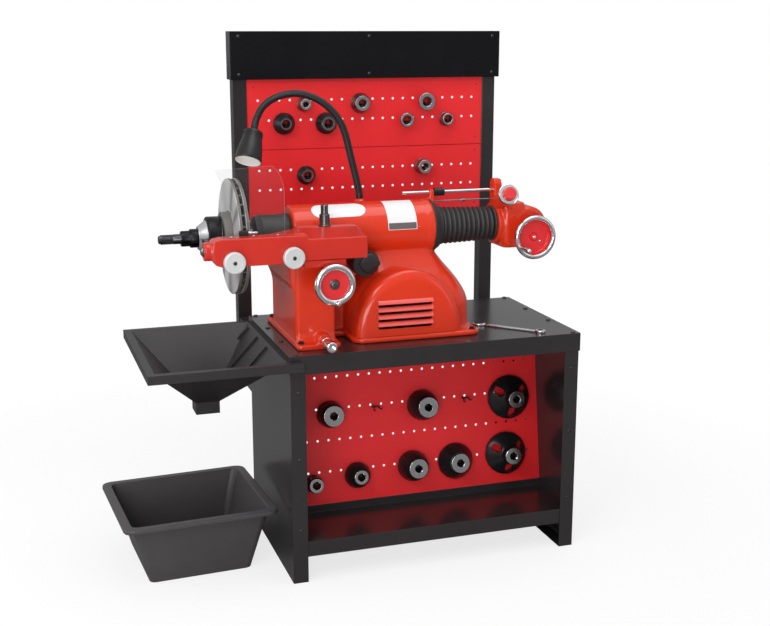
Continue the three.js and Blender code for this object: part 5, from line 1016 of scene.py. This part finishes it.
# Cross slide
# A cast plate in the cutter arm's deeper red, with a tongue in the column's slot and a nut round
# the steel cross screw.
SLIDE_STEEL = plain_metal("slide_steel", (0.40, 0.40, 0.41), 0.28)
ARM_RED = casting_paint("arm_red", (0.50, 0.022, 0.012))
for name, material in (("cross_slide", ARM_RED), ("cross_screw", SLIDE_STEEL),
                       ("guide_rod", SLIDE_STEEL)):
    dress(name, material, 0.0008, 2, 30)

# Twin cutter
# A cast body on the slide, in the same deeper red, whose arm reaches past the disc to a round
# end, with a square tool bar on each side of the disc.
LEFT_DIAL = (-658, -262, 1062)
RIGHT_DIAL = (-474, -262, 1067)
BAR_LOCK = (0, -231, 1093)
CLAMP = (-335, -128, 1137)
TOOL_BARS = (("left", -712, 1), ("right", -505, -1))
cutter = bmesh.new()
extruded(cutter, [(x, -262, z) for x, z in (
    (-720, 1122), (-720, 1068), (-710, 1052), (-690, 1046), (-458, 1046), (-456, 1051),
    (-425, 1051), (-425, 1132), (-690, 1132), (-710, 1129))], (0, 62, 0))
extruded(cutter, [(-430, y, z) for y, z in (
    (-262, 1051), (-97, 1051), (-97, 1137), (-150, 1137), (-262, 1119))], (198, 0, 0))
extruded(cutter, [(x, y, 1056) for x, y in (
    (-565, -201), (-429, -201), (-429, -97), (-440, -97))], (0, 0, 72))
spin_profile(cutter, rod_profile(29, -744, -701), BAR_LOCK, RIGHT, 48)
cutter = carved(cast(cutter, 3.0, 5), [
    pin_hole(LEFT_DIAL), pin_hole(RIGHT_DIAL),
    *[box_shape(x - 16, x + 16, -238, -90, 1084.6, 1110.4) for _, x, _ in TOOL_BARS],
    rod(6.4, -750, -731, BAR_LOCK, RIGHT, 24), rod(8.6, -25, 6, CLAMP, UP, 24),
])
finish_piece("cutter_casting", cutter, [ARM_RED], "carriage", "cutter_body",
             sharp=50)
TOOL_STEEL = plain_metal("tool_steel", (0.09, 0.09, 0.095), 0.30, 0.3)
CARBIDE = plain_metal("carbide_tip", (0.55, 0.50, 0.38), 0.25)
for side, x, inward in TOOL_BARS:
    bar = box_shape(x - 11, x + 11, -237, -97, 1085, 1110)
    inner = x + inward * 11
    extruded(bar, [(inner - inward * 4, -111, 1097.5), (inner + inward * 4, -104, 1097.5),
                   (inner - inward * 4, -96.2, 1097.5)], (0, 0, 5), 1)
    dome_screw(bar, (inner - inward * 6, -104, 1110), UP, 4.0, 2.0)
    finish_piece("tool_bar_" + side + "_ground", bar, [TOOL_STEEL, CARBIDE], side + "_bar",
                 "tool_bar_" + side, 0.8)

# Micrometer dials
# Satin aluminium drums on the front of the arm, stepped down to a sleeve, with plain ticks round
# the edge of the face and a small dark screw in its middle.
DIAL_WHITE = plain_metal("dial_satin", (0.68, 0.69, 0.68), 0.42, 0.08, 0.5)
DRUM = [(-12, 0), (-12, 6), (0.3, 6), (0.3, 28), (2, 30), (8, 30), (8, 32), (9, 33.4),
        (24, 33.4), (25.2, 32.2), (26, 30.5), (26, 27), (25.2, 26.4), (25.2, 0)]
DRUM_SCREW = [(25.3, 0), (25.3, 6.2), (27.4, 5.6), (28, 4.6), (28, 2.4), (26.2, 2.4), (26.2, 0)]
for side, place in (("left", LEFT_DIAL), ("right", RIGHT_DIAL)):
    drum = turned(place, FRONT, (96, DRUM), (32, DRUM_SCREW))
    for i in range(48):
        mark = block(drum, -0.5, 0.5, -0.25, 0.25, 30.8 if i % 4 else 27.6, 33.2, 1)
        bmesh.ops.transform(drum, verts=mark, matrix=pivot(
            (place[0], -286.9, place[2]), math.pi * i / 24, "Y"))
    finish_piece("dial_" + side + "_drum", drum, [DIAL_WHITE, TOOL_STEEL], side + "_dial",
                 "dial_" + side)

# Clamping stud and bar lock
# Dark steel: a washer, a long nut and the end of the stud on the cutter, and a small turned
# knob in the arm's round end that locks the tool bar.
STUD_STEEL = plain_metal("stud_steel", (0.16, 0.16, 0.165), 0.24, 0.2)
stud = turned(CLAMP, UP, (48, [
    (-18, 0), (-18, 8), (0.3, 8), (0.3, 19), (1.3, 20), (4, 20), (5, 19), (5, 15.6), (6, 16.5),
    (36, 16.5), (38, 15), (38, 11), (39, 12), (66, 12), (68, 10), (68, 0)]))
finish_piece("clamp_nut_dark", stud, [STUD_STEEL], "clamp", "clamp_nut")
lock = turned(BAR_LOCK, RIGHT, (36, [
    (-752, 0), (-752, 9), (-751, 10), (-747, 15), (-744.3, 15), (-744.3, 6), (-732, 6),
    (-732, 0)]))
finish_piece("end_knob_turned", lock, [ADAPTER_STEEL], "bar_lock", "end_knob")

# Chip guard
# A clear bent sheet with polished edges, held on the arm by three screws through its foot and by
# a knurled clamp screw behind it.
GUARD_FOOT = 1132.4


def clear_sheet(name, bare, colour):
    finish = Finish(name)
    scuffs = finish.noise(finish.place(scale=(40, 40, 6)), 6.0, 4)
    return finish.set(
        Base_Color=finish.mix(scuffs, colour, shade(colour, 1.25)),
        Roughness=scuffs * 0.08 + 0.03, Alpha=scuffs * 0.016 + bare,
        IOR=1.45, Normal=finish.bump(scuffs, 0.03, 0.0005),
    )


outline = [(-684, GUARD_FOOT), (-490, GUARD_FOOT), (-490, 1269)]
for i in range(1, 9):
    t = i / 8
    outline.append(((1 - t) ** 2 * -490 + 2 * t * (1 - t) * -497.6 + t * t * -528,
                    (1 - t) ** 2 * 1269 + 2 * t * (1 - t) * 1329.8 + t * t * 1345))
outline += [(-700, 1337), (-684, 1299.4)]
guard = bmesh.new()
extruded(guard, [(x, -233, z) for x, z in outline], (0, 3, 0))
block(guard, -684, -490, -249, -232, GUARD_FOOT, 1135.3)
for x in (-660, -590, -515):
    dome_screw(guard, (x, -242, 1135.3), UP, 4.5, 2.4)
bmesh.ops.recalc_face_normals(guard, faces=guard.faces)
for face in guard.faces:
    spot = face.calc_center_median()
    if 1135.4 < spot.z < 1139 and spot.y < -236:
        face.material_index = 1
    elif abs(face.normal.y) < 0.5 and spot.z > 1140:
        face.material_index = 2
finish_piece("chip_guard_sheet", guard,
             [clear_sheet("clear_guard", 0.045, (0.12, 0.13, 0.13)), BRIGHT_STEEL,
              clear_sheet("guard_edge", 0.6, (0.46, 0.50, 0.49))],
             "carriage", "chip_guard", 0.5)

clamp = turned((0, -213, 1140), RIGHT, (36, [
    (-629, 0), (-629, 7), (-628, 8), (-602, 8), (-601, 7), (-601, 0)]))
for i in range(18):
    turn = math.pi * i / 9
    y, z = -213 + 7.9 * math.cos(turn), 1140 + 7.9 * math.sin(turn)
    block(clamp, -627, -603, y - 0.6, y + 0.6, z - 0.6, z + 0.6)
spin_profile(clamp, [(-601, 0), (-601, 6.6), (-590, 6.6), (-589, 5), (-574, 5), (-572, 4),
                     (-572, 0)], (0, -213, 1139), RIGHT, 36, 1)
finish_piece("guard_clamp_screw", clamp, [BLACK_OXIDE, BRIGHT_STEEL], "carriage")

# Handwheels
# Cast rims plated bright round a red dished web, with a plain boss and a small turned grip.
CROSS_WHEEL = (-348, -290, 977)
FEED_WHEEL = (397, -140, 1063)
CHROME = plain_metal("chrome", (0.80, 0.80, 0.81), 0.05, 0.06, 1.0, 0.02)
WEB_RED = enamel("wheel_web_red", (0.66, 0.014, 0.018), 0.28, 0.3, 0.1)
HUB_STEEL = plain_metal("hub_steel", (0.20, 0.19, 0.19), 0.3, 0.3)
RIM_CHROME, FEED_CHROME = [
    turned_metal(name, (0.82, 0.82, 0.83), 0.07, 0.04, centre=centre, axis="Y")
    for name, centre in (("rim_chrome", CROSS_WHEEL), ("feed_rim_chrome", FEED_WHEEL))]


def round_rim(along, radius, thick, wide, steps=20):
    """Profile points of an oval rim section."""
    return [(along + thick * math.cos(2 * math.pi * i / steps),
             radius + wide * math.sin(2 * math.pi * i / steps)) for i in range(steps)]


rim = round_rim(0, 56, 11.5, 10.8)
web = [(-12, 15), (-13.5, 44), (-11, 50), (-7, 50), (-9.5, 43), (-7, 16)]
hub = [(-21, 8.4), (-21, 15), (-20, 16), (-3, 16), (-1, 14), (-1, 11.5), (1, 10.5), (2, 8.5),
       (2, 3.5), (-1, 3.5), (-1, 0)]
wheel = turned(CROSS_WHEEL, FRONT, (96, rim), (72, web), (40, hub))
finish_piece("cross_handwheel_plated", wheel, [RIM_CHROME, WEB_RED, HUB_STEEL], "cross_wheel",
             "cross_handwheel")
rim = round_rim(1, 66.5, 8.6, 8.2)
web = [(-17.5, 14), (-17.5, 54), (-12, 60), (-6, 62), (-4, 58.5), (-9, 56), (-13.5, 52),
       (-13.5, 12)]
wheel = turned(FEED_WHEEL, FRONT, (96, rim), (80, web))
spin_profile(wheel, [(-33.5, 0), (-33.5, 6), (-21.6, 6), (-21.6, 15), (-13, 15), (-8, 11.5),
                     (-6, 10), (-6, 0)], FEED_WHEEL, FRONT, 40, 1)
dome_screw(wheel, (397, -134.2, 1063), FRONT, 5.5, 2.5)
dome_screw(wheel, (421, -126.8, 1048), FRONT, 3.5, 2.0)
finish_piece("feed_handwheel_plated", wheel, [FEED_CHROME, WEB_RED], "feed_wheel",
             "feed_handwheel")
for name, (x, y, z), reach, turn, steps, outline in (
    ("cross", (-348, -302, 977), 55.25, -1.5, 28, [
        (0.3, 6), (1.5, 7.2), (4, 8), (16, 8), (19, 6.5), (20, 5), (20, 0)]),
    ("feed", (397, -150, 1063), 66, 3.63, 32, [
        (0.3, 5), (1.5, 6), (8, 6.6), (30, 7.6), (58, 9), (66, 9), (73, 8), (77, 5.4), (78, 3),
        (78, 0)]),
):
    grip = turned((x + reach * math.cos(turn), y, z + reach * math.sin(turn)), FRONT,
                  (steps, [(-11.7, 0), (-11.7, 3), (0.3, 3), *outline]))
    finish_piece(name + "_wheel_grip_turned", grip, [CHROME], name + "_grip",
                 name + "_wheel_grip")

# Feed box
# A cast gear case bolted to the quill's right end, with a boss for the selector knob, a lug for
# the stop rod and a boss for the handwheel.
KNOB = Vector((306, -112, 1206))
KNOB_AIM = Vector((0, -0.9135, 0.4067)).normalized()
case = bmesh.new()
spin_profile(case, rod_profile(72, 296.3, 322.3), AXIS, RIGHT, 72)
loops = []
for i in range(9):
    share = i / 8
    inset = 11 * (1 - math.sin(math.pi * share) ** 0.5)
    loops.append(ring_loop(case, 309.3 + inset * 0.5, 398 - inset * 0.5, -78 + inset, 60 - inset,
                           20, 1018 + 154 * share))
skin(case, loops)
spin_profile(case, [(-48, 0), (-48, 54), (-44, 60), (-36, 66), (66, 66), (74, 60), (78, 54),
                    (78, 0)], (404, 0, 1092), FRONT, 72)
spin_profile(case, rod_profile(26, 0, 118), (397, 0, 1063), FRONT, 48)
extruded(case, [(296.3, y, z) for y, z in (
    (-22, 1092), (22, 1092), (22, 1236), (12, 1250), (-12, 1250), (-22, 1236))], (27.7, 0, 0))
boss = carved(rod(24, -100, 0, KNOB, KNOB_AIM), [box_shape(270, 296.3, -200, 100, 1000, 1300)])
case.from_mesh(mesh_of(boss))
case = carved(cast(case, 3.0, 5), [
    box_shape(280, 296.25, -120, 120, 1000, 1260), rod(20.4, 290, 322, AXIS, RIGHT),
    rod(5.9, 290, 340, STOP_AXIS, RIGHT, 24), rod(2.9, 290, 480, GUIDE_AXIS, RIGHT, 24),
    pin_hole((397, -118, 1063)), pin_hole(KNOB, KNOB_AIM),
])
for x, z in ((330, 1034), (384, 1034), (330, 1158)):
    dome_screw(case, (x, -77.4, z), FRONT, 5.5, 3)
finish_piece("feed_box_casting", case, [CAST_RED], "quill", "feed_box", sharp=50)

# Feed selector
# A bright turned ring with a raised red cap that has plain engraved ticks round its face.
ring = [(-12, 0), (-12, 6), (0.3, 6), (0.3, 34), (1.2, 35.6), (2.4, 36), (8.6, 36), (10, 35.4),
        (11, 33.6), (11, 24), (9.5, 23), (9.5, 0)]
cap = [(9.6, 0), (9.6, 22.5), (11, 22.6), (25.5, 21), (27, 20.4), (28, 19), (28, 0)]
selector = turned(KNOB, KNOB_AIM, (72, ring), (56, cap))
for i in range(12):
    tick = block(selector, 13, 17.5, -0.7, 0.7, 27.9, 28.0)
    bmesh.ops.transform(selector, verts=tick, matrix=aimed(KNOB, KNOB_AIM)
                        @ Matrix.Rotation(2 * math.pi * i / 12, 4, "Z"))
finish_piece("feed_knob_turned", selector, [CHROME, WEB_RED], "feed_selector",
             "feed_knob", sharp=30)

# Stop rod
# A bright rod that slides through the barrel's lug, with a black set collar; the thin guide rod
# under it keeps the feed box from turning.
stop_rod = turned(STOP_AXIS, RIGHT, (32, [
    (-30, 0), (-30, 4.5), (-29, 5.5), (331, 5.5), (332, 4.5), (332, 0)]))
finish_piece("stop_rod_plated", stop_rod, [CHROME], "stop", "stop_rod")
stop_block = turned(STOP_AXIS, RIGHT, (40, [
    (82.3, 5.9), (82.3, 13), (83.3, 14), (117.3, 14), (118.3, 13), (118.3, 5.9)]))
dome_screw(stop_block, (100, -13.6, 1212), FRONT, 4.0, 0.3)
finish_piece("stop_block_turned", stop_block, [BLACK_OXIDE], "stop", "stop_block")

# Switch
# A black moulded rotary switch behind the cutter, with a flat finger grip, in a round shroud on
# the casting.
BLACK_KNOB = rubber("black_moulding", (0.012, 0.012, 0.013), 0.32, 0.15, 700.0)
switch = turned(SWITCH, FRONT, (64, [
    (-12, 0), (-12, 6), (0.3, 6), (0.3, 37), (1.3, 38), (4, 38), (5, 37), (5, 35), (7, 35.4),
    (20, 33.6), (24, 31.5), (26.4, 27), (26.4, 0)]))
block(switch, -219.5, -150.5, -134.6, -120, 1000, 1012)
finish_piece("switch_knob_moulded", switch, [BLACK_KNOB], "switch", "switch_knob")
shroud = carved(rod(43, -130, -60, (-198, 0, 1006), (0, 1, 0), 64),
                [rod(38.6, -140, -50, (-185, 0, 1006), (0, 1, 0), 64)])
finish_piece("switch_shroud", shroud, [BLACK_KNOB], "bench", edge=1.0)

# Plunger
# A bright turned pin with a round socket in its end, low on the column.
pin = turned(PLUNGER, FRONT, (48, [
    (-12, 0), (-12, 6), (0.3, 6), (0.3, 16), (1.3, 17), (30, 17), (31, 16), (33, 16), (34, 17),
    (89, 17), (91, 16), (92, 14.5), (92, 10), (76, 10), (76, 0)]))
finish_piece("plunger_pin", pin, [CHROME], "plunger", "base_plunger")

# Lamp
# A black gooseneck lamp on a boss of the barrel: close turns of flat wire round the neck, a
# spun shade white inside, and an opal bulb.
LAMP_BLACK = plain_metal("lamp_black", (0.014, 0.014, 0.015), 0.26, 0.3, 0.3, 0.15)
SHADE_WHITE = enamel("shade_white", (0.78, 0.78, 0.76), 0.4, 0.1, 0.03)
WINDINGS = 520
HEAD_TOP = Vector((-521, 38, 1431))
HEAD_AIM = Vector((-0.29, -0.4, -0.87)).normalized()
ROUTE = [Vector(p) for p in (
    (-166, 45, 1196.3), (-166, 45, 1212), (-191, 44, 1319), (-227, 44, 1444), (-270, 45, 1499),
    (-318, 46, 1530), (-380, 48, 1545), (-443, 51, 1533), (-486, 54, 1504))]
ROUTE += [HEAD_TOP - HEAD_AIM * 34, HEAD_TOP - HEAD_AIM * 0.6]


def smooth_route(points, steps):
    """Even points along a centripetal spline through a few."""
    dense = []
    ends = [points[0] * 2 - points[1], *points, points[-1] * 2 - points[-2]]
    for a, b, c, d in zip(ends, ends[1:], ends[2:], ends[3:]):
        knots = [0.0]
        for before, after in ((a, b), (b, c), (c, d)):
            knots.append(knots[-1] + (after - before).length ** 0.5)
        for i in range(24):
            t = knots[1] + (knots[2] - knots[1]) * i / 24

            def between(p, q, low, high):
                return p + (q - p) * ((t - knots[low]) / (knots[high] - knots[low]))

            ab, bc, cd = between(a, b, 0, 1), between(b, c, 1, 2), between(c, d, 2, 3)
            dense.append(between(between(ab, bc, 0, 2), between(bc, cd, 1, 3), 1, 2))
    dense.append(points[-1])
    lengths = [0.0]
    for before, after in zip(dense, dense[1:]):
        lengths.append(lengths[-1] + (after - before).length)
    even = []
    at = 0
    for i in range(steps + 1):
        goal = lengths[-1] * i / steps
        while at < len(dense) - 2 and lengths[at + 1] < goal:
            at += 1
        share = (goal - lengths[at]) / max(lengths[at + 1] - lengths[at], 1e-6)
        even.append(dense[at].lerp(dense[at + 1], min(share, 1)))
    return even


def winding(i):
    """The neck's radius at a ring: even at both ends, wound in between."""
    return 12.3 if i < 12 or i > WINDINGS - 9 or i % 4 in (1, 2) else 11.3


neck = bmesh.new()
spots = smooth_route(ROUTE, WINDINGS)
tube(neck, [Matrix.Translation(spot) @ Vector(UP).rotation_difference(aim).to_matrix().to_4x4()
            for spot, aim in zip(spots, headings(spots))],
     [winding(i) for i in range(len(spots))], 20)
finish_piece("lamp_neck", neck, [LAMP_BLACK], "lamp", "lamp_arm", sharp=60)
lamp_shade = bmesh.new()
spin_profile(lamp_shade, [(14, 0), (14, 25), (34, 28), (81, 39), (105, 41), (108, 41.4)],
             HEAD_TOP, HEAD_AIM, 64, 1)
spin_profile(lamp_shade, [(0, 0), (0, 17), (1.5, 20), (4, 27), (6, 30), (10, 31), (30, 32),
                          (54, 37), (81, 42), (100, 43.6), (106, 44), (108, 43.4), (108, 41.4)],
             HEAD_TOP, HEAD_AIM, 64)
for ridge in (14, 19, 24):
    spin_profile(lamp_shade, [(ridge, 31), (ridge + 0.8, 32.2), (ridge + 1.6, 31)], HEAD_TOP,
                 HEAD_AIM, 64)
finish_piece("lamp_shade", lamp_shade, [LAMP_BLACK, SHADE_WHITE], "lamp",
             "lamp_head", sharp=40)


def opal_glass():
    finish = Finish("opal_glass")
    cloud = finish.noise(finish.place(), 30.0, 2)
    tone = finish.mix(cloud, (0.90, 0.89, 0.86), (0.96, 0.95, 0.92))
    return finish.set(Base_Color=tone, Roughness=cloud * 0.05 + 0.12, Emission_Color=tone,
                      Emission_Strength=0.35)


bulb = turned(HEAD_TOP, HEAD_AIM, (40, [
    (14.3, 0), (14.3, 10), (30, 11), (36, 12.5), (46, 17.5), (56, 21), (64, 22), (72, 20.6),
    (79, 16), (83.5, 10), (85.6, 4), (86, 0)]))
finish_piece("lamp_bulb_opal", bulb, [opal_glass()], "lamp", "lamp_bulb", sharp=60)

# Chip funnel and chip bin
# Moulded black plastic with a fine leathery grain: the funnel hooks on the bench's left edge and
# drops the chips into the bin on the floor.


def grained_plastic(name, colour):
    finish = Finish(name)
    place = finish.place()
    broad = finish.noise(place, 6.0, 3)
    grain = finish.noise(place, 380.0, 3, 0.6)
    scuff = finish.noise(finish.place(scale=(1, 1, 7)), 18.0, 4)
    return finish.set(
        Base_Color=finish.mix(broad * 0.6 + scuff * 0.3, colour, shade(colour, 1.5, 0.006)),
        Roughness=broad * 0.10 + scuff * 0.12 + 0.32,
        Normal=finish.bump(grain, 0.25, 0.0006),
    )


for name, colour in (("chip_funnel", (0.013, 0.011, 0.012)), ("chip_bin", (0.042, 0.038, 0.040))):
    dress(name, grained_plastic(name + "_plastic", colour), 0.0022, 3, 25)

# Spanner
# A chrome combination spanner left on the bench top.
HALF_LENGTH = 132
RING_MIDDLE = HALF_LENGTH - 17
ON_BENCH_TOP = pivot((294, -170, FOOT), -0.826, "Z")
spanner = box_shape(-HALF_LENGTH + 17, RING_MIDDLE, -7, 7, 1, 7)
spin_profile(spanner, rod_profile(17, 0, 10), (RING_MIDDLE, 0, 0), UP, 48)
spin_profile(spanner, rod_profile(21, 0, 8), (-HALF_LENGTH + 21, 0, 0), UP, 48)
ring_hole = bmesh.new()
bmesh.ops.create_cone(ring_hole, segments=12, radius1=10, radius2=10, depth=30, cap_ends=True,
                      matrix=Matrix.Translation((RING_MIDDLE, 0, 5)))
spanner = carved(cast(spanner, 1.5, 3), [
    box_shape(-HALF_LENGTH - 6, -HALF_LENGTH + 21, -9, 9, -5, 14), ring_hole])
bmesh.ops.transform(spanner, verts=spanner.verts, matrix=ON_BENCH_TOP)
finish_piece("spanner_chrome", spanner, [CHROME], "loose_spanner", "spanner", sharp=50)

# Plates
# A bare oval nameplate and a bare data plate of thin white-lacquered aluminium, bent round the
# barrel and held by small pins.
PLATE_WHITE = enamel("plate_white", (0.70, 0.70, 0.70), 0.4, 0.05, 0.03, coat=0.1)
PLATE_RIM = plain_metal("plate_rim", (0.62, 0.63, 0.66), 0.3)
PLATE_GREY = enamel("plate_foot_grey", (0.10, 0.085, 0.09), 0.4, 0.05, 0.1)
DEGREE_LENGTH = 1.62


def bent_plate(name, outline, lift, thick, material):
    """A flat outline of (distance along, angle up from the front) bent round the barrel."""
    shape = bmesh.new()
    base = BARREL_RADIUS + lift
    extruded(shape, [(x, math.radians(angle) * base, 0) for x, angle in outline], (0, 0, thick))
    for cut in range(-60, 130, 4):
        whole = shape.verts[:] + shape.edges[:] + shape.faces[:]
        bmesh.ops.bisect_plane(shape, geom=whole, plane_co=(0, math.radians(cut) * base, 0),
                               plane_no=(0, 1, 0))
    for vert in shape.verts:
        turn = vert.co.y / base
        radius = base + vert.co.z
        vert.co = (vert.co.x, -radius * math.cos(turn), AXIS[2] + radius * math.sin(turn))
    finish_piece(name, shape, [material], "bench", sharp=30)


def oval(x, angle, half_long, half_angle, steps=48):
    """A long plate outline with round ends."""
    end = half_angle * DEGREE_LENGTH
    points = []
    for i in range(steps):
        turn = 2 * math.pi * i / steps
        side = half_long - end if math.cos(turn) >= 0 else end - half_long
        points.append((x + side + end * math.cos(turn), angle + half_angle * math.sin(turn)))
    return points


bent_plate("nameplate_rim", oval(-267, 57, 91, 20), 0.0, 1.0, PLATE_RIM)
bent_plate("nameplate_bare", oval(-267, 57, 88, 18.4), 1.0, 0.4, PLATE_WHITE)
bent_plate("data_plate", [(-108, 5), (-8, 5), (-8, 84), (-108, 84)], 0.0, 0.8, PLATE_WHITE)
bent_plate("data_plate_foot", [(-106, 6), (-10, 6), (-10, 19), (-106, 19)], 0.8, 0.3, PLATE_GREY)
pins = bmesh.new()
for x, angle in ((-104, 9), (-12, 9), (-104, 80), (-12, 80)):
    turn = math.radians(angle)
    outward = Vector((0, -math.cos(turn), math.sin(turn)))
    dome_screw(pins, Vector(AXIS) + outward * 93.8, outward, 1.6, 1.0)
finish_piece("plate_pins", pins, [BRIGHT_STEEL], "bench")

# Foot bolts
# Hexagon screws with washers through the foot's flange into the bench top.
bolts = bmesh.new()
for x, y in ((-440, -215), (-440, 185), (150, -195), (150, 195), (-240, 190)):
    spin_profile(bolts, [(0.2, 0), (0.2, 11), (1.8, 11), (1.8, 0)], (x, y, FLANGE_TOP), UP, 32)
    spin_profile(bolts, [(1.8, 0), (1.8, 8.4), (7.4, 8.4), (8.4, 7.2), (8.4, 0)],
                 (x, y, FLANGE_TOP), UP, 6)
finish_piece("foot_bolts", bolts, [BLACK_OXIDE], "bench", edge=0.3)
